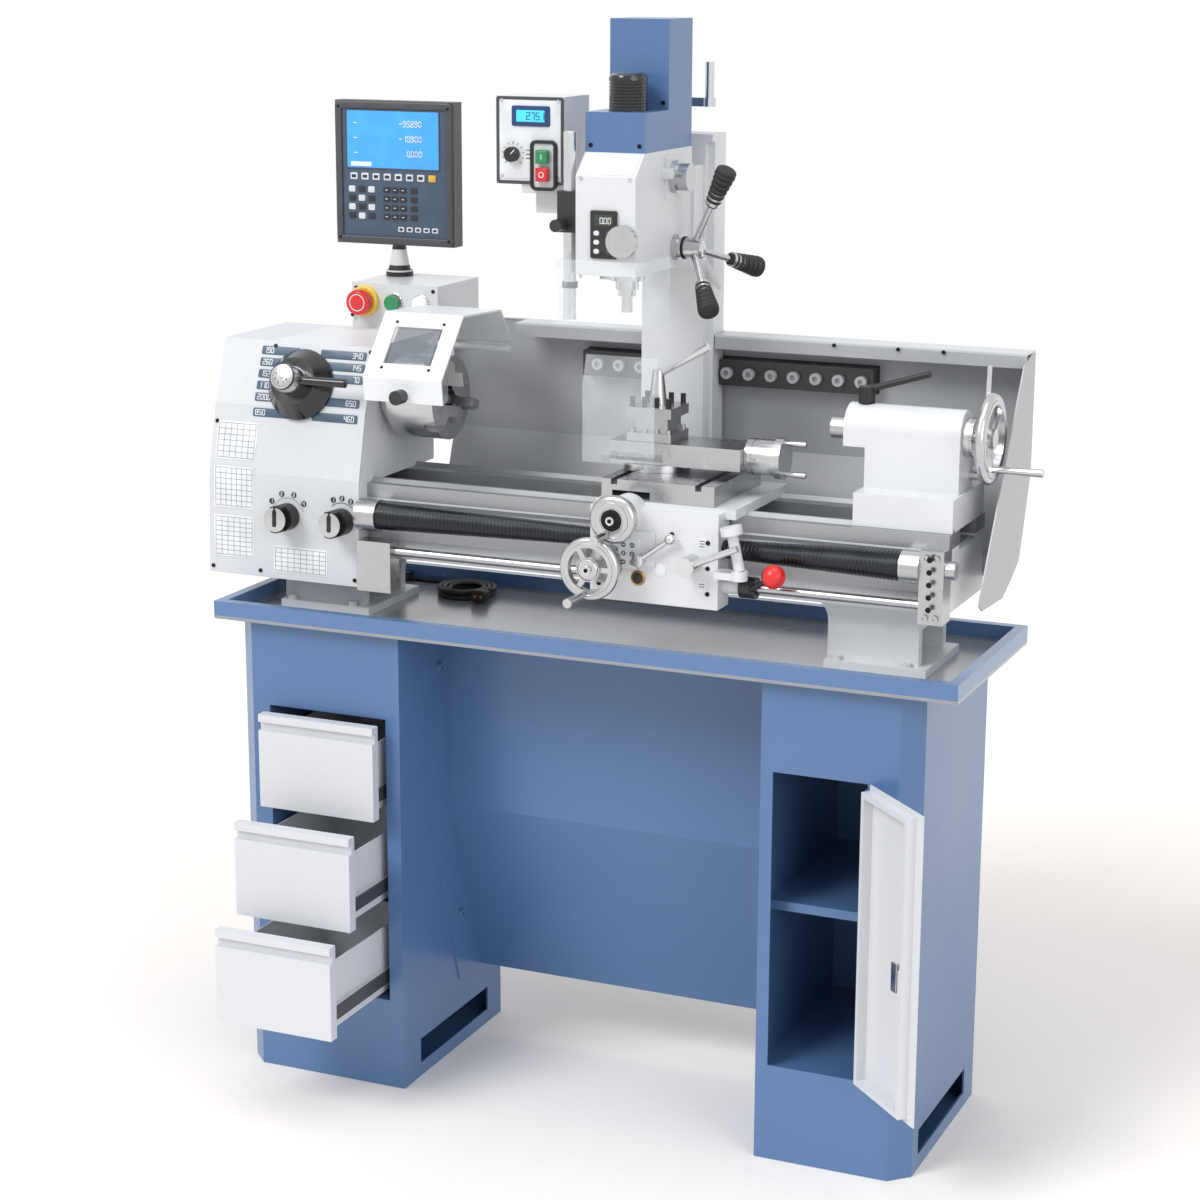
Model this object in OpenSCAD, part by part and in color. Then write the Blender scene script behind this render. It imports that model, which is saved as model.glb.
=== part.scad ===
/* [Stand] */
// Width of the chip tray
tray_width = 1200; // [1180:1:1260]
// Depth of the chip tray
tray_depth = 372; // [368:1:400]
// Height of the tray's rim
tray_rim_height = 28; // [20:1:34]
// Height of the two cabinets
stand_height = 744; // [700:1:820]
// Depth of the two cabinets
cabinet_depth = 350; // [335:1:352]
// Width of the drawer cabinet
drawer_cabinet_width = 288; // [280:1:300]
// Width of the door cabinet
door_cabinet_width = 238; // [230:1:250]
// Spacing of the anchor holes along the machine
anchor_span_x = 856; // [840:1:870]
// Spacing of the anchor holes across the machine
anchor_span_y = 240; // [200:1:260]
// Radius of the anchor holes
anchor_r = 7; // [5:0.5:9]
// Height of each drawer front
drawer_height = 150; // [130:1:156]
// How far the top drawer stands open
top_drawer_open = 40; // [10:1:60]
// How far the middle drawer stands open
middle_drawer_open = 120; // [70:1:125]
// How far the bottom drawer stands open
bottom_drawer_open = 185; // [135:1:190]
// Angle at which the cabinet door stands open
door_open_angle = 136; // [100:1:140]

/* [Bed] */
// Length of the bed casting
bed_length = 1093; // [1088:1:1096]
// Depth of the bed over both ways
bed_depth = 184; // [180:1:186]
// Height of the bed casting above its feet
bed_height = 115; // [105:1:120]
// Height of the feet under the bed
foot_height = 99; // [90:1:110]

/* [Lathe] */
// Height of the spindle axis above the ways
centre_height = 126; // [124:1:128]
// Radius of the bore through the lathe spindle
spindle_bore_r = 13; // [10:0.5:14]
// Radius of the lathe spindle
spindle_r = 22; // [20:0.5:24]
// Radius of the chuck body
chuck_r = 65; // [60:1:67]
// Length of the chuck body
chuck_length = 80; // [76:1:82]
// Radius of the tailstock quill
tail_quill_r = 16; // [14:0.5:17]
// Radius of the bore in the tailstock quill
tail_bore_r = 7; // [5:0.5:9]

/* [Mill] */
// Height of the mill column
column_height = 612; // [605:1:640]
// Width of the mill column
column_width = 102; // [96:1:104]
// Width of the mill head
head_width = 93; // [90:1:96]
// Radius of the mill quill
mill_quill_r = 17; // [15:0.5:18]
// Radius of the collet bore in the mill spindle
mill_bore_r = 5; // [3:0.5:5.5]
// Length of each capstan arm from the axis, seen along it
capstan_reach = 120; // [110:1:124]

/* [Hidden] */
// Overrun of every cut
over = 1;
// Gap between faces that move past each other
gap = 0.3;
// Gap between round faces that move past each other
round_gap = 0.5;
// Radial clearance of a shaft in its hole
shaft_fit = 0.05;
// Room round a part that another clears widely
play = 2;
$fn = 48;

// Shapes that repeat

// Box between two places on each axis
module block(x, y, z) {
    translate([x[0], y[0], z[0]]) cube([x[1] - x[0], y[1] - y[0], z[1] - z[0]]);
}

// Round bar along X between two places
module rod_x(r, x, y, z) {
    translate([x[0], y, z]) rotate([0, 90, 0]) cylinder(r = r, h = x[1] - x[0]);
}

// Round bar along Y between two places
module rod_y(r, x, y, z) {
    translate([x, y[0], z]) rotate([-90, 0, 0]) cylinder(r = r, h = y[1] - y[0]);
}

// Round bar along Z between two places
module rod_z(r, x, y, z) {
    translate([x, y, z[0]]) cylinder(r = r, h = z[1] - z[0]);
}

// Round bar between any two points
module bar(r, a, b) {
    v = b - a;
    translate(a) rotate([0, acos(v[2] / norm(v)), atan2(v[1], v[0])]) cylinder(r = r, h = norm(v));
}

// Outline of Y and Z places, drawn out along X
module along_x(x, outline) {
    translate([x[0], 0, 0]) rotate([90, 0, 90]) linear_extrude(x[1] - x[0]) polygon(outline);
}

// Outline of X and Z places, drawn out along Y
module along_y(y, outline) {
    translate([0, y[1], 0]) rotate([90, 0, 0]) linear_extrude(y[1] - y[0]) polygon(outline);
}

// Outline of X and Y places, drawn out along Z
module along_z(z, outline) {
    translate([0, 0, z[0]]) linear_extrude(z[1] - z[0]) polygon(outline);
}

// Outline of a sheet that lies to the left of a line of points
function unit(v) = v / norm(v);
function left_of(v) = [-v[1], v[0]];
function run_at(p, i) = unit(p[min(i + 1, len(p) - 1)] - p[min(i, len(p) - 2)]);
function bisector(a, b) = unit(a + b) / (unit(a + b) * a);
function beside(p, i) = bisector(left_of(run_at(p, max(i - 1, 0))), left_of(run_at(p, i)));
function moved(p, t) = [for (i = [0:len(p) - 1]) p[i] + t * beside(p, i)];
function backward(p) = [for (i = [len(p) - 1:-1:0]) p[i]];
function sheet_outline(p, t) = concat(p, backward(moved(p, t)));

// Wheel about local Z: round-edged rim, spokes and a hub
module handwheel(r, rim, hub_r, hub_back, spokes) {
    spoke_w = hub_r / 2;
    difference() {
        union() {
            rotate_extrude() translate([r - rim, 0]) square([rim / 2, rim], center = true);
            rotate_extrude() translate([r - rim / 2, 0]) circle(r = rim / 2);
        }
        translate([0, 0, -rim]) cylinder(r = r - rim * 5 / 4, h = 2 * rim);
    }
    for (i = [0:spokes - 1]) {
        rotate(i * 360 / spokes) translate([0, -spoke_w / 2, -rim / 4]) cube([r - rim, spoke_w, rim / 2]);
    }
    translate([0, 0, -hub_back]) cylinder(r = hub_r, h = hub_back + rim / 2);
}

// Turned handle that stands up along local Z
module grip(r, neck, length) {
    cylinder(r = r * 5 / 8, h = neck);
    translate([0, 0, neck]) cylinder(r1 = r * 3 / 4, r2 = r, h = length - neck);
}

// Heads of socket screws on a plane, with hexagon recesses
module screw_heads(places, r, turn) {
    for (p = places) {
        translate(p) rotate(turn) difference() {
            cylinder(r = r, h = r);
            translate([0, 0, r / 2]) cylinder(r = r / 2, h = r, $fn = 6);
        }
    }
}

// Places along the machine

// Front of the tray before the anchor holes' centre
tray_reach = 190;
tray_sheet = 2;
tray_rim = 16;
tray_x = [-tray_width / 2, tray_width / 2];
tray_y = [-tray_reach, tray_depth - tray_reach];
tray_floor = stand_height + tray_sheet;
cabinet_setback = 20;
cabinet_y = [tray_y[0] + cabinet_setback, tray_y[0] + cabinet_setback + cabinet_depth];
drawer_cabinet_inset = 25;
door_cabinet_inset = 58;
drawer_cabinet_left = tray_x[0] + drawer_cabinet_inset;
drawer_cabinet_x = [drawer_cabinet_left, drawer_cabinet_left + drawer_cabinet_width];
door_cabinet_right = tray_x[1] - door_cabinet_inset;
door_cabinet_x = [door_cabinet_right - door_cabinet_width, door_cabinet_right];
bed_inset = 59;
bed_x = [tray_x[0] + bed_inset, tray_x[0] + bed_inset + bed_length];
bed_z = [tray_floor + foot_height, tray_floor + foot_height + bed_height];
ways_z = bed_z[1];
axis_z = ways_z + centre_height;

// Sheet cabinets: one shell with a chamfered corner, mirrored for the other side

case_sheet = 3;
base_plate = 6;
cabinet_chamfer = 29;
// Height of the floor inside both cabinets
well_floor = 146;
toe_z = [22, 63];
toe_inset = [57, 49];

function shell_outline(width, w) = let (cut = cabinet_chamfer + w * (sqrt(2) - 1)) [
    [w, cabinet_y[1] - w],
    [w, cabinet_y[0] + cut],
    [cut, cabinet_y[0] + w],
    [width - w, cabinet_y[0] + w],
    [width - w, cabinet_y[1] - w]
];

module cabinet_shell(width) {
    difference() {
        along_z([0, stand_height], shell_outline(width, 0));
        along_z([base_plate, well_floor - case_sheet], shell_outline(width, case_sheet));
        along_z([well_floor, stand_height - case_sheet], shell_outline(width, case_sheet));
    }
}

module anchor_holes() {
    for (x = [-1, 1], y = [-1, 1]) {
        rod_z(anchor_r, x * anchor_span_x / 2, y * anchor_span_y / 2, [-over, base_plate + over]);
    }
}

module toe_window(x) {
    block([x - case_sheet - over, x + over], [cabinet_y[0] + toe_inset[0], cabinet_y[1] - toe_inset[1]], toe_z);
}

// Drawer cabinet with its inner sheets and fixed slides

drawer_count = 3;
drawer_gap = 3;
drawer_front_width = 201;
drawer_side_gap = 2;
// Room at each side of a drawer's box for the slides
slide_room = 13;
slide_height = 20;
slide_thickness = (drawer_side_gap + slide_room - gap) / 2;
// The opening's left edge from the cabinet's left side
drawer_opening_inset = 59;
drawer_pitch = drawer_height + drawer_gap;
drawer_opening_left = drawer_cabinet_x[0] + drawer_opening_inset;
drawer_gap_x = [drawer_opening_left, drawer_opening_left + drawer_front_width + 2 * drawer_side_gap];
drawer_gap_z = [well_floor, well_floor + drawer_count * drawer_pitch + drawer_gap];
function drawer_z(i) = well_floor + drawer_gap / 2 + (drawer_count - 1 - i) * drawer_pitch;
slide_rise = 24;
function slide_z(i) = [drawer_z(i) + slide_rise, drawer_z(i) + slide_rise + slide_height];
drawer_opens = [top_drawer_open, middle_drawer_open, bottom_drawer_open];

module left_cabinet() {
    inner_y = [cabinet_y[0] + case_sheet, cabinet_y[1] - case_sheet];
    slide_y = [cabinet_y[0] + drawer_front + gap, inner_y[1]];
    color("lightsteelblue") {
        difference() {
            translate([drawer_cabinet_x[0], 0, 0]) cabinet_shell(drawer_cabinet_width);
            block(drawer_gap_x, [cabinet_y[0] - over, inner_y[0] + over], drawer_gap_z);
            anchor_holes();
            toe_window(drawer_cabinet_x[1]);
        }
        for (x = [drawer_gap_x[0] - case_sheet, drawer_gap_x[1]]) {
            block([x, x + case_sheet], inner_y, [well_floor, drawer_gap_z[1] + slide_height]);
        }
    }
    color("dimgray") for (i = [0:drawer_count - 1]) {
        block([drawer_gap_x[0], drawer_gap_x[0] + slide_thickness], slide_y, slide_z(i));
        block([drawer_gap_x[1] - slide_thickness, drawer_gap_x[1]], slide_y, slide_z(i));
    }
}

// Drawer: folded front with a grip groove, box and moving slides

drawer_front = 18;
drawer_sheet = 2;
drawer_depth = 300;
drawer_box_height = 108;
drawer_box_rise = 8;
groove_depth = 8;
groove_height = 14;
groove_drop = 12;

module drawer(i) {
    y = cabinet_y[0] - drawer_opens[i];
    z = drawer_z(i);
    x = [drawer_gap_x[0] + drawer_side_gap, drawer_gap_x[1] - drawer_side_gap];
    box_x = [x[0] + slide_room, x[1] - slide_room];
    box_y = [y + drawer_front, y + drawer_depth];
    box_z = [z + drawer_box_rise, z + drawer_box_rise + drawer_box_height];
    top = z + drawer_height;
    color("gainsboro") difference() {
        block(x, [y, y + drawer_front], [z, top]);
        block(
            [x[0] - over, x[1] + over], [y - over, y + groove_depth],
            [top - groove_drop - groove_height, top - groove_drop]
        );
    }
    color("lightgray") difference() {
        block(box_x, box_y, box_z);
        block(
            [box_x[0] + drawer_sheet, box_x[1] - drawer_sheet], [box_y[0] - over, box_y[1] - drawer_sheet],
            [box_z[0] + drawer_sheet, box_z[1] + over]
        );
    }
    color("dimgray") for (side = [box_x[0] - slide_thickness, box_x[1]]) {
        block([side, side + slide_thickness], box_y, slide_z(i));
    }
}

module drawer_top() {
    drawer(0);
}

module drawer_middle() {
    drawer(1);
}

module drawer_bottom() {
    drawer(2);
}

// Door cabinet with its shelf and hinge halves

door_opening_width = 144;
door_opening_height = 456;
// The opening's hinge side from the cabinet's right side
door_opening_inset = 75;
door_sill = 4;
shelf_rise = 249;
shelf_lip = 14;
// Shelf's setback behind the door's rim and latch
shelf_setback = 40;
door_opening_right = door_cabinet_x[1] - door_opening_inset;
door_gap_x = [door_opening_right - door_opening_width, door_opening_right];
door_gap_z = [well_floor + door_sill, well_floor + door_sill + door_opening_height];
// The door's laps over the opening: hinge side, above and below, free edge
door_lap = 3;
door_free_lap = 13;
knuckle_r = 5;
hinge_pin_r = 2.5;
knuckle_h = 40;
knuckle_inset = 30;
leaf_width = 18;
leaf_thickness = 2;
hinge_x = door_gap_x[1] + door_lap;
hinge_y = cabinet_y[0] - knuckle_r - round_gap;
door_z = [door_gap_z[0] - door_lap, door_gap_z[1] + door_lap];
door_knuckles = [door_z[0] + knuckle_inset, door_z[1] - knuckle_inset - knuckle_h];

module right_cabinet() {
    shelf_z = well_floor + shelf_rise;
    lip_y = cabinet_y[0] + shelf_setback;
    half = knuckle_h / 2;
    color("lightsteelblue") {
        difference() {
            translate([door_cabinet_x[1], 0, 0]) mirror([1, 0, 0]) cabinet_shell(door_cabinet_width);
            block(door_gap_x, [cabinet_y[0] - over, cabinet_y[0] + case_sheet + over], door_gap_z);
            anchor_holes();
            toe_window(door_cabinet_x[1]);
        }
        difference() {
            translate([door_cabinet_x[1], 0, 0]) mirror([1, 0, 0])
                along_z([shelf_z - case_sheet, shelf_z], shell_outline(door_cabinet_width, case_sheet));
            block([door_cabinet_x[0] - over, door_cabinet_x[1] + over], [cabinet_y[0] - over, lip_y],
                [shelf_z - shelf_lip, shelf_z + over]);
        }
        block([door_gap_x[0] - shelf_lip, door_gap_x[1] + shelf_lip], [lip_y, lip_y + case_sheet],
            [shelf_z - shelf_lip, shelf_z]);
    }
    color("silver") for (z = door_knuckles, end = [z - gap - half, z + knuckle_h + gap]) {
        rod_z(knuckle_r, hinge_x, hinge_y, [end, end + half]);
        block([hinge_x, hinge_x + leaf_width], [cabinet_y[0] - leaf_thickness, cabinet_y[0]], [end, end + half]);
        rod_z(hinge_pin_r, hinge_x, hinge_y, [z - half, z + knuckle_h + half]);
    }
}

// Door, drawn shut with its hinge at the origin and then turned open

door_sheet = 2;
door_rim = 15;
door_rim_width = 8;
door_rim_inset = 5;
door_width = door_opening_width + door_lap + door_free_lap;
latch_x = door_rim_inset + door_lap + door_rim_width * 2 - door_width + door_free_lap;
latch_z = (door_z[0] + door_z[1]) / 2;
latch_shaft_r = 5;

module on_door() {
    translate([hinge_x, hinge_y, 0]) rotate(door_open_angle) children();
}

module cabinet_door() {
    edge = -knuckle_r - round_gap;
    back = [door_sheet / 2, door_sheet / 2 + door_rim];
    rim_x = [-door_lap - door_opening_width + door_rim_inset, -door_lap - door_rim_inset];
    rim_z = [door_gap_z[0] + door_rim_inset, door_gap_z[1] - door_rim_inset];
    color("lightsteelblue") on_door() difference() {
        union() {
            block([-door_width, edge], [-door_sheet / 2, door_sheet / 2], door_z);
            for (z = door_knuckles) {
                block([edge, 0], [-door_sheet / 2, door_sheet / 2], [z, z + knuckle_h]);
                rod_z(knuckle_r, 0, 0, [z, z + knuckle_h]);
            }
            difference() {
                block(rim_x, back, rim_z);
                block(
                    [rim_x[0] + door_rim_width, rim_x[1] - door_rim_width], [0, back[1] + over],
                    [rim_z[0] + door_rim_width, rim_z[1] - door_rim_width]
                );
            }
        }
        rod_z(hinge_pin_r + shaft_fit, 0, 0, door_z);
        rod_y(latch_shaft_r + shaft_fit, latch_x, [-door_sheet, door_sheet], latch_z);
    }
}

latch_boss_r = 11;
latch_boss_height = 5;
latch_lever = [12, 44, 6];
latch_cam_width = 14;
latch_cam_length = 36;
latch_cam_sheet = 3;

module door_latch() {
    outer = [-door_sheet / 2 - gap - latch_boss_height, -door_sheet / 2 - gap];
    cam = door_sheet / 2 + door_rim + gap;
    color("silver") on_door() {
        rod_y(latch_boss_r, latch_x, outer, latch_z);
        rod_y(latch_shaft_r, latch_x, [outer[0], cam], latch_z);
        block(
            [latch_x - latch_lever[0] / 2, latch_x + latch_lever[0] / 2], [outer[0] - latch_lever[2], outer[0]],
            [latch_z - latch_lever[1], latch_z + latch_boss_r]
        );
        block(
            [latch_x - latch_cam_width / 2, latch_x + latch_cam_width / 2], [cam, cam + latch_cam_sheet],
            [latch_z - latch_cam_length, latch_z + latch_cam_width / 2]
        );
    }
}

// Panel between the cabinets

panel_sheet = 2;
panel_flange = 80;
panel_bend_drop = 320;
panel_foot_z = 115;
panel_slope_back = 104;
panel_screw_r = 7;

module centre_panel() {
    x = [drawer_cabinet_x[1], door_cabinet_x[0]];
    line = [[0, stand_height], [0, stand_height - panel_bend_drop], [panel_slope_back, panel_foot_z]];
    front = [line[2] - [panel_flange, 0], line[1] - [panel_flange, 0], line[0] - [panel_flange, 0]];
    screws = [[-panel_flange / 2, stand_height - panel_flange], [panel_slope_back / 4, 2 * panel_foot_z]];
    color("steelblue") {
        along_x(x, sheet_outline(line, panel_sheet));
        along_x([x[0], x[0] + panel_sheet], concat(line, front));
        along_x([x[1] - panel_sheet, x[1]], concat(line, front));
    }
    color("silver") {
        screw_heads([for (s = screws) [x[0] + panel_sheet, s[0], s[1]]], panel_screw_r, [0, 90, 0]);
        screw_heads([for (s = screws) [x[1] - panel_sheet, s[0], s[1]]], panel_screw_r, [0, -90, 0]);
    }
}

// Tray with a folded rim that is open below

module chip_tray() {
    z = [stand_height, stand_height + tray_rim_height];
    function inset(p, t) = [p[0] + t, p[1] - t];
    color("steelblue") difference() {
        block(tray_x, tray_y, z);
        block(inset(tray_x, tray_rim), inset(tray_y, tray_rim), [tray_floor, z[1] + over]);
        difference() {
            block(inset(tray_x, tray_sheet), inset(tray_y, tray_sheet), [z[0] - over, z[1] - tray_sheet]);
            block(
                inset(tray_x, tray_rim - tray_sheet), inset(tray_y, tray_rim - tray_sheet),
                [z[0] - 2 * over, z[1] + over]
            );
        }
    }
}

// Bed: two ways with cross ribs on two feet

way_width = 52;
way_lip = 8;
way_top = 25;
way_foot = 20;
ridge_width = 14;
ridge_height = 6;
ridge_inset = 20;
rib_thickness = 12;
rib_count = 6;
rib_drop = 30;
left_foot_length = 141;
right_foot_length = 138;
right_foot_inset = 47;
left_foot_arch = 60;
right_foot_arch = 30;
foot_y = [-68, 70];
foot_flange_height = 12;
flange_reach = 16;
foot_hollow_height = 52;
foot_wall = 16;
foot_screw_r = 7;

function ridge(side, clear) = let (y = side * (bed_depth / 2 - ridge_inset)) [
    [y - ridge_width / 2 - clear, ways_z],
    [y, ways_z + ridge_height + clear],
    [y + ridge_width / 2 + clear, ways_z]
];

// Room of the ways and their ridges, for what stands or slides on them
module ways_cut(x, clear) {
    for (side = [-1, 1]) {
        along_x([x[0] - over, x[1] + over], concat(
            ridge(side, clear),
            [[side * (bed_depth / 2 - ridge_inset) + ridge_width, ways_z - over]],
            [[side * (bed_depth / 2 - ridge_inset) - ridge_width, ways_z - over]]
        ));
    }
}

module way(side) {
    outer = bed_depth / 2;
    inner = outer - way_width;
    low = bed_z[0] + way_foot;
    high = bed_z[1] - way_top;
    points = [
        [outer, bed_z[0]], [outer, low], [outer - way_lip, low + way_lip], [outer - way_lip, high - way_lip],
        [outer, high], [outer, bed_z[1]], [inner, bed_z[1]], [inner, high],
        [inner + way_lip, high - way_lip], [inner + way_lip, low + way_lip], [inner, low], [inner, bed_z[0]]
    ];
    along_x(bed_x, [for (p = points) [side * p[0], p[1]]]);
    along_x(bed_x, ridge(side, 0));
}

// Concave arcs that carry a foot out under the bed
function arc(x, z, r, from, to) = r == 0 ? [[x, z]] : [
    for (i = [0:6]) let (a = from + i * (to - from) / 6) [x + r * cos(a), z + r * sin(a)]
];

module foot(x, left_r, right_r) {
    flange_x = [x[0], x[1] + flange_reach];
    flange_y = [foot_y[0] - flange_reach, foot_y[1] + flange_reach];
    flange_z = [tray_floor, tray_floor + foot_flange_height];
    left = arc(x[0] - left_r, bed_z[0] - left_r, left_r, 0, 90);
    right = arc(x[1] + right_r, bed_z[0] - right_r, right_r, 90, 180);
    hollow_y = [foot_y[0] + foot_wall, foot_y[1] - foot_wall];
    hollow_x = [x[0] + foot_wall, x[1] + flange_reach + over];
    difference() {
        union() {
            along_y(foot_y, concat([[x[0], tray_floor]], left, right, [[x[1], tray_floor]]));
            block(flange_x, flange_y, flange_z);
        }
        block(hollow_x, hollow_y, [flange_z[1], flange_z[1] + foot_hollow_height]);
    }
    places = [for (sx = [x[0] + foot_wall, x[1] - foot_wall], sy = [0, 1]) [
        sx, flange_y[sy] + (1 - 2 * sy) * flange_reach / 2, flange_z[1]
    ]];
    color("dimgray") screw_heads(places, foot_screw_r, [0, 0, 0]);
}

module bed() {
    right_foot_end = bed_x[1] - right_foot_inset;
    pitch = (bed_length - rib_thickness) / (rib_count + 1);
    inner = bed_depth / 2 - way_width + way_lip;
    color("gainsboro") {
        way(-1);
        way(1);
        for (i = [0:rib_count + 1]) {
            x = bed_x[0] + i * pitch;
            block([x, x + rib_thickness], [-inner, inner], [bed_z[0], bed_z[1] - rib_drop]);
        }
        foot([bed_x[0], bed_x[0] + left_foot_length], 0, left_foot_arch);
        foot([right_foot_end - right_foot_length, right_foot_end], right_foot_arch, right_foot_arch);
    }
}

// Headstock with its gear box in front of the bed

stock_x = [bed_x[0] - 17, bed_x[0] + 163];
stock_back = 133;
stock_top = ways_z + 206;
stock_wall = 12;
gearbox_drop = 150;
skin = 3.3;
// Front of the cover, against the axis and the ways
cover_front = [[-127, ways_z - 158], [-119, ways_z + 6], [-95, ways_z + 108], [-59, stock_top]];
gear_cover_length = 87;
bar_hole_r = 26;

module headstock() {
    rise = gearbox_drop / 18;
    slope = (cover_front[1][0] - cover_front[0][0]) / (cover_front[1][1] - cover_front[0][1]);
    front = concat([cover_front[0] + [skin + rise * slope, rise]], [for (i = [1:3]) cover_front[i] + [skin, 0]]);
    bed_front = -bed_depth / 2 - gap;
    outline = concat(front, [[stock_back, stock_top], [stock_back, ways_z], [bed_front, ways_z],
        [bed_front, front[0][1]]]);
    inner_x = [stock_x[0] + stock_wall, stock_x[1] - stock_wall];
    color("gainsboro") difference() {
        along_x(stock_x, outline);
        ways_cut(stock_x, 0);
        block(inner_x, [-bed_depth / 3, stock_back - stock_wall],
            [ways_z + stock_wall, stock_top - stock_wall]);
        rod_x(spindle_r + shaft_fit, [stock_x[0] - over, stock_x[1] + over], 0, axis_z);
    }
}

module headstock_cover() {
    end_x = [stock_x[0] - gear_cover_length, stock_x[0]];
    foot = cover_front[0][1];
    box = concat(cover_front, [[stock_back, stock_top], [stock_back, foot]]);
    inner = concat(
        [cover_front[0] + [skin, skin], cover_front[1] + [skin, 0], cover_front[2] + [skin, 0]],
        [cover_front[3] + [skin, -skin]],
        [[stock_back - skin, stock_top - skin], [stock_back - skin, foot + skin]]
    );
    color("lightgray") {
        difference() {
            along_x(end_x, box);
            along_x([end_x[0] + skin, end_x[1] + over], inner);
            rod_x(bar_hole_r, [end_x[0] - over, end_x[0] + skin + over], 0, axis_z);
        }
        along_x(stock_x, concat(cover_front, [for (i = [3:-1:0]) cover_front[i] + [skin, 0]]));
    }
}

// Local Z square to the cover between two of its front points
module on_front(i, x, z) {
    a = cover_front[i];
    v = cover_front[i + 1] - a;
    translate([x, a[0] + v[0] * (z - a[1]) / v[1], z]) rotate([atan2(v[1], v[0]), 0, 0]) children();
}

dial_r = 56;
dial_plate = 4;
dial_cone = 26;
dial_knob_r = 21;
dial_knob_height = 34;
dial_arm_r = 7;
dial_arm_length = 100;
dial_x = stock_x[0] + 62;
dial_z = ways_z + 143;

module speed_dial() {
    color("silver") on_front(2, dial_x, dial_z) {
        translate([0, 0, gap]) cylinder(r = dial_r, h = dial_plate);
        translate([0, 0, dial_plate + gap]) cylinder(r1 = dial_r - gap, r2 = dial_r * 2 / 3, h = dial_cone);
        translate([0, 0, dial_cone + dial_plate]) cylinder(r = dial_knob_r, h = dial_knob_height);
        translate([0, 0, dial_cone + dial_knob_height / 2]) rod_x(dial_arm_r, [0, dial_arm_length], 0, 0);
    }
}

selector_r = 21;
selector_h = 40;
selector_bar = 9;
selector_x = [stock_x[0] + 55, stock_x[0] + 151];
selector_z = ways_z - 58;

module selector(x) {
    color("silver") on_front(0, x, selector_z) {
        translate([0, 0, gap]) cylinder(r = selector_r, h = selector_h / 2);
        translate([0, 0, selector_h / 2]) difference() {
            cylinder(r = selector_r, h = selector_h / 2);
            for (side = [-1, 1]) {
                translate([side * (selector_bar + selector_r), 0, selector_h / 2])
                    cube([2 * selector_r, 3 * selector_r, selector_h * 3 / 4], center = true);
            }
        }
    }
}

module feed_selector_left() {
    selector(selector_x[0]);
}

module feed_selector_right() {
    selector(selector_x[1]);
}

// Spindle with its gear and pulley, and the chuck on its nose

spindle_overhang = 82;
chuck_plate_r = 50;
chuck_plate_length = 16;
nose_gap = 4;
spindle_gear = [48, 20];
spindle_pulley = [38, 22];
chuck_x = [stock_x[1] + nose_gap + chuck_plate_length, stock_x[1] + nose_gap + chuck_plate_length + chuck_length];
jaw_angles = [100, 220, 340];
jaw_width = 14;
jaw_depth = 20;
jaw_root = 22;
jaw_step = 44;
jaw_top = 62;
jaw_low = 15;
jaw_high = 27;

module lathe_spindle() {
    plate_x = [stock_x[1] + nose_gap, chuck_x[0]];
    gear_x = stock_x[0] + stock_x[1] - stock_x[0] - 3 * spindle_gear[0];
    pulley_x = stock_x[0] - 2 * spindle_pulley[1];
    color("silver") difference() {
        union() {
            rod_x(spindle_r, [stock_x[0] - spindle_overhang, chuck_x[0]], 0, axis_z);
            rod_x(chuck_plate_r, plate_x, 0, axis_z);
            rod_x(chuck_r, chuck_x, 0, axis_z);
            rod_x(spindle_gear[0], [gear_x, gear_x + spindle_gear[1]], 0, axis_z);
            rod_x(spindle_pulley[0], [pulley_x, pulley_x + spindle_pulley[1]], 0, axis_z);
        }
        rod_x(spindle_bore_r, [stock_x[0] - spindle_overhang - over, chuck_x[1] + over], 0, axis_z);
        for (a = jaw_angles) {
            translate([0, 0, axis_z]) rotate([a, 0, 0]) block([chuck_x[1] - jaw_depth - gap, chuck_x[1] + over],
                [0, chuck_r + over], [-jaw_width / 2 - gap, jaw_width / 2 + gap]);
        }
    }
}

module jaw(i) {
    side = [-jaw_width / 2, jaw_width / 2];
    face = chuck_x[1];
    color("darkgray") translate([0, 0, axis_z]) rotate([jaw_angles[i], 0, 0]) {
        block([face - jaw_depth, face], [jaw_root, jaw_top], side);
        block([face, face + jaw_low], [jaw_root, jaw_top], side);
        block([face, face + jaw_high], [jaw_root, jaw_step], side);
    }
}

module chuck_jaw_1() {
    jaw(0);
}

module chuck_jaw_2() {
    jaw(1);
}

module chuck_jaw_3() {
    jaw(2);
}

// Guard over the chuck, carried by a rod from the headstock

guard_x = [stock_x[1] + 15, stock_x[1] + 148];
guard_sheet = 3;
guard_rod_r = 6;
guard_pivot_y = 112;
guard_pivot_z = stock_top - 16;
guard_line = [[122, axis_z + 74], [80, axis_z + 130], [-51, axis_z + 136], [-128, axis_z + 46], [-123, axis_z + 9]];
guard_window = [34, 26];
guard_knob_r = 11;

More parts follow.
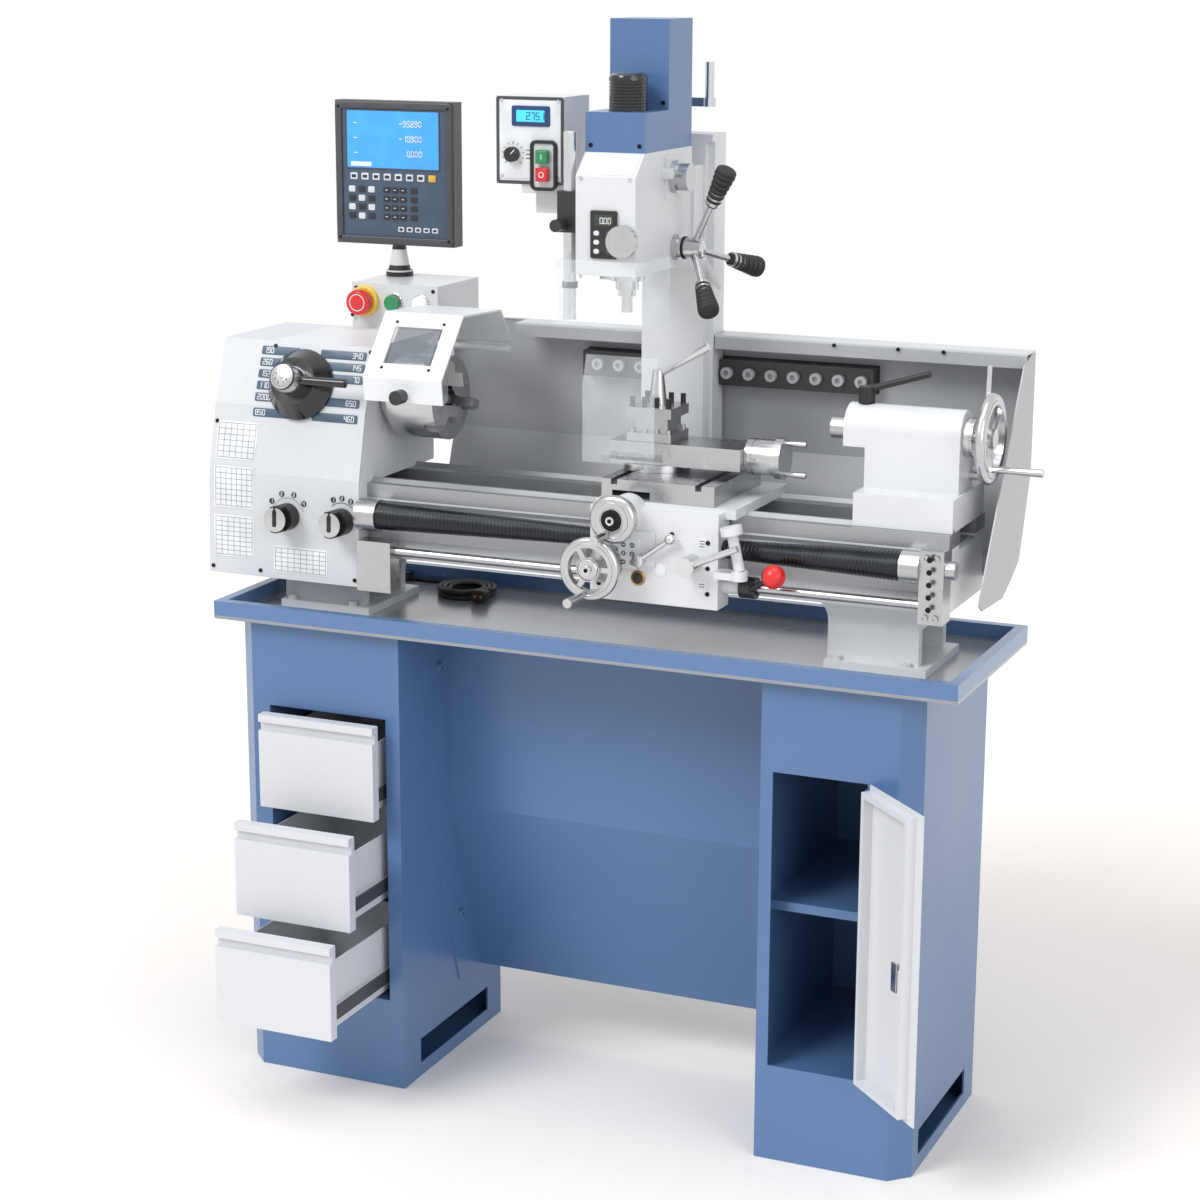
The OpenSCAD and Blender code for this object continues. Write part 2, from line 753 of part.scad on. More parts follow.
module chuck_guard() {
    knob_y = guard_line[4][0];
    shut = sheet_outline(guard_line, guard_sheet);
    slope = guard_line[2] - guard_line[3];
    color("darkgray") {
        difference() {
            along_x(guard_x, shut);
            translate([0, guard_line[3][0], guard_line[3][1]]) rotate([atan2(slope[1], slope[0]), 0, 0])
                block([guard_x[0] + guard_window[1], guard_x[1] - guard_window[1]],
                    [guard_window[1], norm(slope) - guard_window[1]], [-2 * guard_sheet, 2 * guard_sheet]);
        }
        rod_x(guard_rod_r, [stock_x[1] + gap, guard_x[1]], guard_pivot_y, guard_pivot_z);
        block([guard_x[0], guard_x[0] + guard_sheet], [guard_pivot_y - 2 * guard_rod_r, guard_pivot_y + guard_rod_r],
            [guard_pivot_z, guard_pivot_z + 2 * guard_rod_r]);
        rod_y(guard_knob_r, (guard_x[0] + guard_x[1]) / 2, [knob_y - guard_window[1], knob_y - guard_sheet],
            guard_line[4][1] + guard_knob_r);
    }
}

// Control box with its buttons, and the display on its swivel

box_x = [stock_x[0] + 35, stock_x[0] + 190];
box_y = [stock_back, stock_back + 147];
box_z = [stock_top - 156, stock_top + 72];
box_wall = 3;
button_z = box_z[1] - 29;
stop_x = box_x[0] + 16 + 8;
start_x = box_x[0] + 76;
lamp_x = box_x[1] - 30;
stop_r = 20;
stop_stem_r = 9;
start_r = 12;
start_stem_r = 6;
button_collar = 8;
button_travel = 4;
stand_x = box_x[0] + 28;
stand_y = box_y[1] - 35;
stand_foot = [22, 10];
stand_cone = [18, 11, 38];

module control_box() {
    color("whitesmoke") difference() {
        block(box_x, box_y, box_z);
        block([box_x[0] + box_wall, box_x[1] - box_wall], [box_y[0] + box_wall, box_y[1] - box_wall],
            [box_z[0] + box_wall, box_z[1] - box_wall]);
        rod_y(stop_stem_r + shaft_fit, stop_x, [box_y[0] - over, box_y[0] + box_wall + over], button_z);
        rod_y(start_stem_r + shaft_fit, start_x, [box_y[0] - over, box_y[0] + box_wall + over], button_z);
    }
    color("gold") difference() {
        rod_y(stop_r + button_travel, stop_x, [box_y[0] - button_collar, box_y[0]], button_z);
        rod_y(stop_stem_r + shaft_fit, stop_x, [box_y[0] - button_collar - over, box_y[0] + over], button_z);
    }
    color("white") rod_y(start_r, lamp_x, [box_y[0] - button_collar, box_y[0]], button_z);
    color("silver") {
        rod_z(stand_foot[0], stand_x, stand_y, [box_z[1], box_z[1] + stand_foot[1]]);
        translate([stand_x, stand_y, box_z[1] + stand_foot[1]])
            cylinder(r1 = stand_cone[0], r2 = stand_cone[1], h = stand_cone[2]);
    }
}

module push_button(x, y, z, r, stem_r, cap, depth) {
    rod_y(r, x, [y - cap, y], z);
    rod_y(stem_r, x, [y, y + depth], z);
}

module stop_button() {
    face = box_y[0] - button_collar - button_travel - gap;
    color("red") push_button(stop_x, face, button_z, stop_r, stop_stem_r, stop_r * 3 / 4, box_wall + 4 * button_travel);
}

module start_button() {
    face = box_y[0] - button_travel - gap;
    color("green") push_button(start_x, face, button_z, start_r, start_stem_r, button_collar, box_wall + 2 * button_travel);
}

display_size = [216, 30, 232];
display_left = 107;

module dro_display() {
    z = box_z[1] + stand_foot[1] + stand_cone[2] + gap;
    x = [stand_x - display_left, stand_x - display_left + display_size[0]];
    foot_z = [z, z + stand_foot[1] / 3];
    color("darkslategray") {
        rod_z(stand_cone[1], stand_x, stand_y, foot_z);
        block(x, [stand_y - display_size[1] / 2, stand_y + display_size[1] / 2],
            [foot_z[1], foot_z[1] + display_size[2]]);
    }
}

// Leadscrew and control rod with their blocks and end bracket

rods_y = -115;
leadscrew_z = ways_z - 44;
control_rod_z = ways_z - 98;
leadscrew_r = 9;
control_rod_r = 7;
bracket_x = [bed_x[1] - 32, bed_x[1] + 4];
bracket_z = [ways_z - 122, ways_z - 16];
end_bracket_reach = 15;
end_nut_r = 13;
end_nut_length = 14;
rod_block_x = [stock_x[1], stock_x[1] + 58];
rod_block_z = [ways_z - 162, ways_z - 83];
rod_boss_r = 25;
rod_boss_length = 35;
end_sleeve = [23, 29];
bracket_screw_r = 5;

module feed_rods() {
    bracket_y = [rods_y - end_bracket_reach, -bed_depth / 2];
    color("silver") {
        rod_x(leadscrew_r, [rod_block_x[0] + rod_boss_length, bracket_x[0] - end_sleeve[1]], rods_y, leadscrew_z);
        rod_x(control_rod_r, [rod_block_x[1], bracket_x[0]], rods_y, control_rod_z);
        rod_x(end_nut_r, [bracket_x[1], bracket_x[1] + end_nut_length], rods_y, leadscrew_z);
        screw_heads([for (i = [0:3]) [
            bracket_x[0] + bracket_screw_r * 2 + (i % 2) * 3 * bracket_screw_r, bracket_y[0],
            bracket_z[0] + 2 * bracket_screw_r + floor(i / 2) * (bracket_z[1] - bracket_z[0] - 4 * bracket_screw_r)
        ]], bracket_screw_r, [90, 0, 0]);
        rod_x(end_sleeve[0], [bracket_x[0] - end_sleeve[1], bracket_x[0]], rods_y, leadscrew_z);
    }
    color("lightgray") {
        block(bracket_x, bracket_y, bracket_z);
        block(rod_block_x, [rods_y - end_bracket_reach, rods_y + end_bracket_reach], rod_block_z);
        rod_x(rod_boss_r, [rod_block_x[0], rod_block_x[0] + rod_boss_length], rods_y, leadscrew_z - gap);
    }
}

// Carriage: saddle, apron and the collar for the rod lever

saddle_x = [20, 240];
saddle_y = [-118, 100];
saddle_height = 15;
apron_x = [20, 222];
apron_y = [-140, -97];
apron_z = [ways_z - 131, ways_z - 9];
cross_z = ways_z - 1;
cross_x = 74;
cross_boss_r = 28;
cross_boss_front = -166;
cross_shaft_r = 9;
wheel_x = 43;
wheel_z = ways_z - 74;
wheel_shaft_r = 9;
wheel_dial = [30, 11];
collar_r = 12;
collar_length = 27;
feed_plate = [40, 50, 4];
feed_plate_x = 84;
feed_plate_drop = 9;
feed_x = 102;
feed_z = ways_z - 65;
half_nut_x = 183;
half_nut_z = ways_z - 64;
lever_hub_gap = 0.3;
dial_foot = [259, -150, ways_z - 66];
dial_head = [247, -150, ways_z - 14];
dial_post_r = 8;
dial_head_r = 16;
dial_bracket = [12, 14];
slide_gap = 0.3;
saddle_top = ways_z + saddle_height;

module carriage() {
    apron_front = apron_y[0];
    color("gainsboro") {
        difference() {
            union() {
                block(saddle_x, saddle_y, [ways_z + gap, saddle_top]);
                block(apron_x, [apron_y[0], saddle_y[0]], [apron_z[0], saddle_top - saddle_height / 3]);
                block(apron_x, apron_y, apron_z);
                block(apron_x, [saddle_y[0] - over, apron_y[1]], [apron_z[1] - over, ways_z + over]);
                rod_y(cross_boss_r, cross_x, [cross_boss_front, saddle_y[0]], cross_z);
                rod_x(collar_r, [apron_x[1], apron_x[1] + collar_length], rods_y, control_rod_z);
            }
            ways_cut(saddle_x, gap);
            rod_x(leadscrew_r + round_gap, [apron_x[0] - over, apron_x[1] + over], rods_y, leadscrew_z);
            rod_x(control_rod_r + round_gap, [apron_x[0] - over, apron_x[1] + collar_length + over],
                rods_y, control_rod_z);
            rod_y(cross_shaft_r + shaft_fit, cross_x, [cross_boss_front - over, saddle_y[0]], cross_z);
            rod_y(wheel_shaft_r + shaft_fit, wheel_x, [apron_front - over, rods_y - 2 * leadscrew_r], wheel_z);
        }
        bar(dial_post_r, dial_foot, dial_head);
        bar(dial_head_r, dial_head, dial_head + unit(dial_head - dial_foot) * dial_bracket[0]);
        rod_z(dial_head_r * 3 / 4, dial_foot[0], dial_foot[1], [dial_foot[2] - dial_bracket[1], dial_foot[2]]);
        block([apron_x[1], dial_foot[0]], [dial_foot[1] - dial_post_r, apron_front + dial_post_r],
            [dial_foot[2] - dial_bracket[1], dial_foot[2] - dial_bracket[1] / 4]);
        block([feed_plate_x, feed_plate_x + feed_plate[0]], [apron_front - feed_plate[2], apron_front],
            [feed_z - feed_plate_drop, feed_z - feed_plate_drop + feed_plate[1]]);
    }
}

// Wheel in front of the carriage with its dial
module front_wheel(x, y, z, r, rim, hub_r, shaft_end, shaft_r, spokes, grip_angle, grip_at, grip_length) {
    translate([x, y, z]) rotate([90, 0, 0]) {
        handwheel(r, rim, hub_r, rim, spokes);
        translate([0, 0, -(shaft_end - y)]) cylinder(r = shaft_r, h = shaft_end - y);
        rotate(grip_angle) translate([grip_at, 0, 0]) grip(7, rim / 2 + 4, grip_length);
    }
}

wheel_r = 47;
wheel_rim = 12;
wheel_hub_r = 15;
wheel_y = -195;
wheel_grip = [40, 62];
cross_wheel_r = 36;
cross_wheel_rim = 14;
cross_wheel_y = -181;
cross_grip = [24, 50];

module carriage_handwheel() {
    color("silver") {
        front_wheel(wheel_x, wheel_y, wheel_z, wheel_r, wheel_rim, wheel_hub_r, rods_y - 2 * leadscrew_r - gap,
            wheel_shaft_r, 3, -101, wheel_grip[0], wheel_grip[1]);
        rod_y(wheel_dial[0], wheel_x, [apron_y[0] - wheel_dial[1] - gap, apron_y[0] - gap], wheel_z);
    }
}

module cross_handwheel() {
    color("silver") {
        front_wheel(cross_x, cross_wheel_y, cross_z, cross_wheel_r, cross_wheel_rim, wheel_hub_r,
            saddle_y[0] - cross_shaft_r, cross_shaft_r, 3, -112, cross_grip[0], cross_grip[1]);
        rod_y(cross_wheel_r - gap * 10, cross_x, [cross_wheel_y, cross_boss_front - gap], cross_z);
    }
}

// Slides on the saddle

cross_slide_x = [27, 205];
cross_slide_y = [-115, 80];
cross_slide_z = [saddle_top + gap, saddle_top + 30];
cross_notch = 90;
t_slot = [10, 8];
swivel = [70, -5];
swivel_r = 50;
swivel_z = [cross_slide_z[1] + gap, cross_slide_z[1] + 11];
rail_x = [20, 175];
rail_half = [20, 26];
rail_height = 12;
top_slide_x = [9, 218];
slide_half = 40;
top_slide_z = [swivel_z[1] + gap, swivel_z[1] + 33];
top_wheel_z = top_slide_z[1] - 15;
top_dial = [27, 44];
top_wheel_r = 31;
top_wheel_rim = 12;
top_shaft_r = 7;
top_grip = [23, 38];

boss_room = cross_boss_r + play;

module cross_slide() {
    color("lightgray") difference() {
        block(cross_slide_x, cross_slide_y, cross_slide_z);
        block([cross_x - boss_room, cross_x + boss_room], [cross_slide_y[0] - over, cross_slide_y[0] + cross_notch],
            [cross_slide_z[0] - over, cross_z + boss_room]);
        for (x = [cross_slide_x[0] + 3 * t_slot[0] / 2, cross_slide_x[1] - 3 * t_slot[0]]) {
            block([x, x + t_slot[0]], [cross_slide_y[0] - over, cross_slide_y[1] + over],
                [cross_slide_z[1] - t_slot[1], cross_slide_z[1] + over]);
        }
    }
}

module compound_base() {
    color("darkgray") {
        rod_z(swivel_r, swivel[0], swivel[1], swivel_z);
        along_x(rail_x, [
            [swivel[1] - rail_half[0], swivel_z[1]], [swivel[1] - rail_half[1], swivel_z[1] + rail_height],
            [swivel[1] + rail_half[1], swivel_z[1] + rail_height], [swivel[1] + rail_half[0], swivel_z[1]]
        ]);
    }
}

module top_slide() {
    c = gap;
    color("lightgray") difference() {
        block(top_slide_x, [swivel[1] - slide_half, swivel[1] + slide_half], top_slide_z);
        along_x([top_slide_x[0] - over, top_slide_x[1] - slide_half / 4], [
            [swivel[1] - rail_half[0] - c, top_slide_z[0] - over], [swivel[1] - rail_half[0] - c, swivel_z[1]],
            [swivel[1] - rail_half[1] - c, swivel_z[1] + rail_height + c],
            [swivel[1] + rail_half[1] + c, swivel_z[1] + rail_height + c],
            [swivel[1] + rail_half[0] + c, swivel_z[1]], [swivel[1] + rail_half[0] + c, top_slide_z[0] - over]
        ]);
        rod_x(top_shaft_r + shaft_fit, [top_slide_x[1] - slide_half / 5, top_slide_x[1] + over], swivel[1], top_wheel_z);
    }
}

module top_handwheel() {
    dial_x = [top_slide_x[1] + gap, top_slide_x[1] + top_dial[1]];
    wheel = dial_x[1] + top_wheel_rim / 2;
    color("silver") {
        rod_x(top_dial[0], dial_x, swivel[1], top_wheel_z);
        rod_x(top_shaft_r, [top_slide_x[1] - slide_half / 5 + gap, dial_x[1]], swivel[1], top_wheel_z);
        rod_x(top_wheel_r, [dial_x[1], dial_x[1] + top_wheel_rim], swivel[1], top_wheel_z);
        for (a = [0, 180]) {
            translate([wheel, swivel[1], top_wheel_z]) rotate([a, 0, 0]) translate([0, 0, top_grip[0]])
                rotate([0, 90, 0]) grip(5, top_wheel_rim, top_grip[1]);
        }
    }
}

// Four-way toolpost and its handle

post_x = [35, 106];
post_half = 35.5;
post_plates = [13, 15];
post_waist = 9;
post_height = 51;
post_screw_r = 4;
post_stud_r = 8;
post_stud_height = 12;
post_z = top_slide_z[1] + gap;

module toolpost() {
    z = [post_z, post_z + post_height];
    centre = (post_x[0] + post_x[1]) / 2;
    y = [swivel[1] - post_half, swivel[1] + post_half];
    color("lightgray") difference() {
        union() {
            block(post_x, y, [z[0], z[0] + post_plates[0]]);
            block(post_x, y, [z[1] - post_plates[1], z[1]]);
            block([post_x[0] + post_waist, post_x[1] - post_waist], [y[0] + post_waist, y[1] - post_waist],
                [z[0] + post_plates[0], z[1] - post_plates[1]]);
        }
        rod_z(post_stud_r + shaft_fit, centre, swivel[1], [z[1] - post_stud_height, z[1] + over]);
    }
    color("dimgray") for (i = [-3, -1, 1, 3], side = [-1, 1]) {
        s = post_half - post_waist / 2 - post_screw_r / 2;
        rod_z(post_screw_r, centre + i * s / 3, swivel[1] + side * s, [z[0] + post_plates[0], z[0] + post_plates[0] + 6]);
        rod_z(post_screw_r, centre + i * s / 3, swivel[1] + side * s, [z[1], z[1] + post_plates[1]]);
    }
}

handle_hub_r = [14, 8];
handle_hub_height = 52;
handle_arm = [80, 40];
handle_arm_r = 6;

module toolpost_handle() {
    centre = (post_x[0] + post_x[1]) / 2;
    base = post_z + post_height + gap;
    tip = [centre + handle_arm[0], swivel[1], base + handle_hub_height + handle_arm[1]];
    color("silver") {
        rod_z(post_stud_r, centre, swivel[1], [base - post_stud_height + gap, base]);
        translate([centre, swivel[1], base]) cylinder(r1 = handle_hub_r[0], r2 = handle_hub_r[1], h = handle_hub_height);
        bar(handle_arm_r, [centre, swivel[1], base + handle_hub_height - handle_arm_r], tip);
    }
}

shield_x = [-20, 95];
shield_y = -80;
shield_sheet = 3;
shield_height = 115;
shield_foot = 12;
shield_lean = [14, 44];

module toolpost_shield() {
    z = top_slide_z[0] + shield_foot / 3;
    back = swivel[1] - slide_half;
    top = z + shield_height;
    line = [[shield_y, z], [shield_y, top], [shield_y + shield_lean[0], top + shield_lean[1]]];
    color("lightcyan") along_x(shield_x, sheet_outline(backward(line), shield_sheet));
    color("silver") block([top_slide_x[0], shield_x[1]], [shield_y + shield_sheet, back], [z, z + shield_foot]);
}

// Levers on the apron

lever_r = 5;
half_nut_hub = [14, 22];
half_nut_arm = [79, 34];
feed_hub = [9, 14];
feed_arm = [50, 36];
feed_ball_r = 8;
rod_hub = [16, 24];
red_ball_r = 17.5;
red_ball = [311, -150, ways_z - 70];

module half_nut_lever() {
    y = apron_y[0] - gap;
    arm_y = y - half_nut_hub[1] - 5 / 4 * lever_r;
    color("silver") {
        rod_y(half_nut_hub[0], half_nut_x, [y - half_nut_hub[1] - 5 / 2 * lever_r, y], half_nut_z);
        bar(lever_r, [half_nut_x, arm_y, half_nut_z], [half_nut_x + half_nut_arm[0], arm_y, half_nut_z + half_nut_arm[1]]);
    }
}

module feed_lever() {
    y = apron_y[0] - feed_plate[2] - gap;
    arm_y = y - feed_hub[1] + lever_r;
    tip = [feed_x + feed_arm[0], arm_y, feed_z + feed_arm[1]];
    color("silver") {
        rod_y(feed_hub[0], feed_x, [y - feed_hub[1], y], feed_z);
        bar(lever_r * 4 / 5, [feed_x, arm_y, feed_z], tip);
        translate(tip) sphere(r = feed_ball_r);
    }
}

module rod_lever() {
    x = apron_x[1] + collar_length + gap;
    color("dimgray") {
        difference() {
            rod_x(rod_hub[0], [x, x + rod_hub[1]], rods_y, control_rod_z);
            rod_x(control_rod_r + play, [x - over, x + rod_hub[1] + over], rods_y, control_rod_z);
        }
        bar(lever_r * 4 / 5, [x + rod_hub[1] - lever_r, rods_y - rod_hub[0] + play, control_rod_z], red_ball);
    }
    color("red") translate(red_ball) sphere(r = red_ball_r);
}

// Telescopic spiral covers on the leadscrew

cover_r = [22, 14];
cover_steps = 6;

module spiral_cover(from, to) {
    for (i = [0:cover_steps - 1]) {
        a = from + (to - from) * i / cover_steps;
        b = from + (to - from) * (i + 1) / cover_steps;
        r = cover_r[0] + (cover_r[1] - cover_r[0]) * i / (cover_steps - 1);
        difference() {
            rod_x(r, [min(a, b), max(a, b)], rods_y, leadscrew_z);
            rod_x(leadscrew_r + round_gap, [min(a, b) - over, max(a, b) + over], rods_y, leadscrew_z);
        }
    }
}

module screw_covers() {
    color("slategray") {
        spiral_cover(rod_block_x[0] + rod_boss_length, apron_x[0] - gap);
        spiral_cover(bracket_x[0] - end_sleeve[1], apron_x[1] + gap);
    }
}

// Tailstock with its quill, wheel and two levers

tail_x = [405, 546];
tail_nose = 33;
tail_base_x = [404, 552];
tail_base_y = 80;
tail_split = 24;
tail_half = 35;
tail_top = 39;
tail_body_z = [ways_z + 48, axis_z - 20];
quill_nose = 345;
tail_screw_r = 8;
tail_dial = [28, 14];
tail_wheel_x = 581;
tail_wheel_r = 66;
tail_wheel_rim = 14;
tail_grip = [44, 78];
quill_lever_x = 395;
quill_hub = [12, 24];
quill_arm = [94, 24];
clamp_y = 20;
clamp_z = ways_z + 68;
clamp_lever_x = 569;
clamp_shaft_r = 7;
clamp_rise = [112, 158];
clamp_grip_r = 8;

module tailstock() {
    body = [tail_x[0] - tail_nose, tail_x[1]];
    color("gainsboro") difference() {
        union() {
            block(body, [-tail_half, tail_half], [tail_body_z[1], axis_z]);
            rod_x(tail_half, body, 0, axis_z + tail_top - tail_half);
            block(tail_x, [-tail_half, tail_half], tail_body_z);
            block(tail_base_x, [-tail_base_y, tail_base_y], [ways_z + gap, ways_z + tail_split]);
            block(tail_base_x, [-tail_base_y, tail_base_y], [ways_z + tail_split, tail_body_z[0]]);
        }
        block([body[0] - over, tail_x[0]], [-tail_half, tail_half], [tail_body_z[0], tail_body_z[1]]);
        ways_cut(tail_base_x, gap);
        rod_x(tail_quill_r + shaft_fit, [body[0] - over, tail_x[1] - 3 * tail_screw_r], 0, axis_z);
        rod_x(tail_screw_r + shaft_fit, [body[0], tail_x[1] + over], 0, axis_z);
        rod_x(clamp_shaft_r + shaft_fit, [tail_x[1] - 2 * clamp_shaft_r, tail_x[1] + over], clamp_y, clamp_z);
    }
}

module tailstock_quill() {
    end = tail_x[1] - 4 * tail_screw_r;
    color("silver") difference() {
        rod_x(tail_quill_r, [quill_nose, end], 0, axis_z);
        rod_x(tail_bore_r, [quill_nose - over, (quill_nose + tail_x[0]) / 2 + tail_nose], 0, axis_z);
        rod_x(tail_screw_r + round_gap, [tail_x[0] + tail_nose, end + over], 0, axis_z);
    }
}

module tail_handwheel() {
    start = tail_x[1] - 6 * tail_screw_r;
    color("silver") {
        rod_x(tail_screw_r, [start, tail_wheel_x], 0, axis_z);
        rod_x(tail_dial[0], [tail_x[1] + gap, tail_x[1] + tail_dial[1]], 0, axis_z);
        translate([tail_wheel_x, 0, axis_z]) rotate([0, 90, 0]) {
            handwheel(tail_wheel_r, tail_wheel_rim, wheel_hub_r, gap, 3);
            translate([tail_grip[0], 0, 0]) grip(6, tail_wheel_rim / 2 + 3, tail_grip[1]);
        }
    }
}

module quill_lever() {
    base = axis_z + tail_top + gap;
    tip = [quill_lever_x + quill_arm[0], 0, base + quill_hub[1] + quill_arm[1]];
    color("silver") {
        rod_z(quill_hub[0], quill_lever_x, 0, [base, base + quill_hub[1]]);
        bar(lever_r, [quill_lever_x, 0, base + quill_hub[1] - lever_r], tip);
    }
}

clamp_arm = [3, 4];
clamp_lean = [10, 14];

module bed_clamp_lever() {
    x = clamp_lever_x - clamp_arm[0];
    color("silver") {
        rod_x(clamp_shaft_r, [tail_x[1] - 2 * clamp_shaft_r + gap, clamp_lever_x], clamp_y, clamp_z);
        rod_x(clamp_shaft_r * 3 / 2, [clamp_lever_x - 2 * clamp_arm[0], clamp_lever_x], clamp_y, clamp_z);
        bar(clamp_arm[0], [x, clamp_y, clamp_z], [x, clamp_y + clamp_lean[0], clamp_z + clamp_rise[0]]);
        bar(clamp_arm[1], [x, clamp_y + clamp_lean[0], clamp_z + clamp_rise[0]],
            [x, clamp_y + clamp_lean[1], clamp_z + clamp_rise[1]]);
    }
}

// Column behind the bed

column_x = [-7, column_width - 7];
column_y = [115, 170];
column_strip = 11;
column_z = [bed_z[0] + 25, bed_z[0] + 25 + column_height];
column_plate = 11;
column_pad_top = ways_z - 8;
crank_x = 45;
crank_y = 140;
crank_shaft_r = 8;

module mill_column() {
    color("lightgray") difference() {
        union() {
            block(column_x, column_y, column_z);
            block([column_x[1], column_x[1] + column_strip], [column_y[0] + column_strip, column_y[1]], column_z);
            block([column_x[0], column_x[1] + column_strip], column_y, [column_z[1], column_z[1] + column_plate]);
            block(column_x, [bed_depth / 2, column_y[0]], [column_z[0], column_pad_top]);
        }
        rod_z(crank_shaft_r + shaft_fit, crank_x, crank_y,
            [column_z[1] - 3 * column_plate, column_z[1] + column_plate + over]);
    }
}

crank_hub = [13, 52];
crank_reach = 45;
crank_grip = [7, 53];

module column_crank() {
    z = column_z[1] + column_plate + gap;
    arm_z = z + crank_hub[1];
    color("silver") {
        rod_z(crank_hub[0], crank_x, crank_y, [z, arm_z]);
        rod_z(crank_shaft_r, crank_x, crank_y, [z - 3 * column_plate, z]);
        block([crank_x, crank_x + crank_reach], [crank_y - crank_hub[0] / 2, crank_y + crank_hub[0] / 2],
            [arm_z - crank_hub[0], arm_z]);
        rod_z(crank_hub[0] * 3 / 4, crank_x + crank_reach, crank_y, [arm_z - crank_hub[0], arm_z]);
        rod_z(crank_grip[0], crank_x + crank_reach, crank_y, [arm_z, arm_z + crank_grip[1]]);
    }
}

// Mill head with its slide, post clamp and clamp lever

head_x = [-5, head_width - 5];
head_y = [-138, 77];
head_z = [ways_z + 345, ways_z + 518];
head_slope = [34, 32];
quill_x = 42;
quill_y = -58;
quill_hole = 140;
slide_x = [-2, 92];
slide_z = [head_z[0] - 10, head_z[1] - 30];
post_x0 = -23;
post_y0 = -118;
post_r = 9;
clamp_block = [59, 28];
capstan_y = 13;
capstan_z = head_z[0] + 29;
capstan_shaft_r = 9;
range_y = 3;
range_z = head_z[0] + 133;
range_plate = [64, 2];
fine_x = 71;
fine_z = head_z[0] + 51;
small_knob_r = 8;
panel_x = [20, 61];
panel_z = [head_z[0] + 26, head_z[0] + 93];
hole_depth = 14;
head_lever_r = [8, 4];
head_lever = [[104, 98, head_z[0] - 2], [116, 127, head_z[0] - 42]];

module mill_head() {
    front = head_y[0];
    half_plate = range_plate[0] / 2;
    half_block = clamp_block[1] / 2;
    color("gainsboro") difference() {
        union() {
            along_x(head_x, [
                [front, head_z[0]], [head_y[1], head_z[0]], [head_y[1], head_z[1]],
                [front + head_slope[0], head_z[1]], [front, head_z[1] - head_slope[1]]
            ]);
            block(slide_x, [head_y[1], column_y[0] - gap], slide_z);
            block([panel_x[0], panel_x[1]], [front - range_plate[1], front], panel_z);
            block([head_x[1], head_x[1] + range_plate[1]], [range_y - half_plate, range_y + half_plate],
                [range_z - half_plate, range_z + half_plate]);
            rod_x(small_knob_r, [head_x[1], head_x[1] + 2 * small_knob_r], range_y - half_plate * 4 / 3,
                range_z + small_knob_r);
        }
        rod_z(mill_quill_r + shaft_fit, quill_x, quill_y, [head_z[0] - over, head_z[0] + quill_hole]);
        rod_x(capstan_shaft_r + shaft_fit, [head_x[1] - hole_depth, head_x[1] + over], capstan_y, capstan_z);
        rod_x(small_knob_r + shaft_fit, [head_x[1] - hole_depth, head_x[1] + range_plate[1] + over], range_y, range_z);
        rod_y(small_knob_r + shaft_fit, fine_x, [front - over, front + hole_depth], fine_z);
    }
    color("dimgray") {
        difference() {
            block([post_x0 - half_block, head_x[0]], [post_y0 - half_block, post_y0 + half_block],
                [head_z[0] + clamp_block[0], head_z[0] + 2 * clamp_block[0]]);
            rod_z(post_r + shaft_fit, post_x0, post_y0, [head_z[0], head_z[1]]);
        }
        rod_y(post_r, post_x0 - post_r / 2, [post_y0 - 3 * half_block, post_y0 - half_block],
            head_z[0] + clamp_block[0] * 6 / 5);
        rod_x(head_lever_r[0], [slide_x[1], head_lever[0][0]], head_lever[0][1], head_lever[0][2]);
        bar(head_lever_r[1], head_lever[0], head_lever[1]);
    }
}

low_cover_y = [-104, 74];
low_cover_height = 57;
tall_cover_y = [-16, 74];
tall_cover_height = 186;
motor_cap_r = 27;
motor_cap_height = 48;

module mill_cover() {
    top = head_z[1] + low_cover_height;
    color("steelblue") {
        block(head_x, low_cover_y, [head_z[1], top]);
        block(head_x, tall_cover_y, [top, head_z[1] + tall_cover_height]);
    }
    color("dimgray") {
        rod_z(motor_cap_r, quill_x, quill_y, [top, top + motor_cap_height]);
        translate([quill_x, quill_y, top + motor_cap_height])
            cylinder(r1 = motor_cap_r, r2 = motor_cap_r * 2 / 3, h = motor_cap_r / 4);
    }
}

quill_end = head_z[0] - 27;
nose_end = head_z[0] - 61;
nose_r = 8;
quill_clamp = [26, 12];
quill_top = head_z[0] + quill_hole - 2 * quill_clamp[0];
quill_lug = [40, 9];
quill_drop = 2;
nose_nut = [13, 10];
mill_bore_depth = 30;

module mill_quill() {
    clamp_z = [head_z[0] - quill_clamp[1] - quill_drop, head_z[0] - quill_drop];
    color("silver") difference() {
        union() {
            rod_z(mill_quill_r, quill_x, quill_y, [quill_end, quill_top]);
            rod_z(quill_clamp[0], quill_x, quill_y, clamp_z);
            block([quill_x - quill_lug[0], quill_x], [quill_y - quill_lug[1], quill_y + quill_lug[1]], clamp_z);
        }
        rod_z(nose_r + shaft_fit, quill_x, quill_y, [quill_end - over, head_z[0] + quill_hole]);
    }
}

module mill_spindle() {
    color("silver") difference() {
        union() {
            rod_z(nose_r, quill_x, quill_y, [nose_end, quill_top]);
            rod_z(nose_nut[0], quill_x, quill_y, [quill_end - nose_nut[1], quill_end - gap]);
        }
        rod_z(mill_bore_r, quill_x, quill_y, [nose_end - over, nose_end + mill_bore_depth]);
    }
}

capstan_hub = [19, 15, 42];
capstan_angles = [102, 222, 342];
capstan_lean = 62;
capstan_arm_r = 5;
capstan_grip = [11, 16, 58];

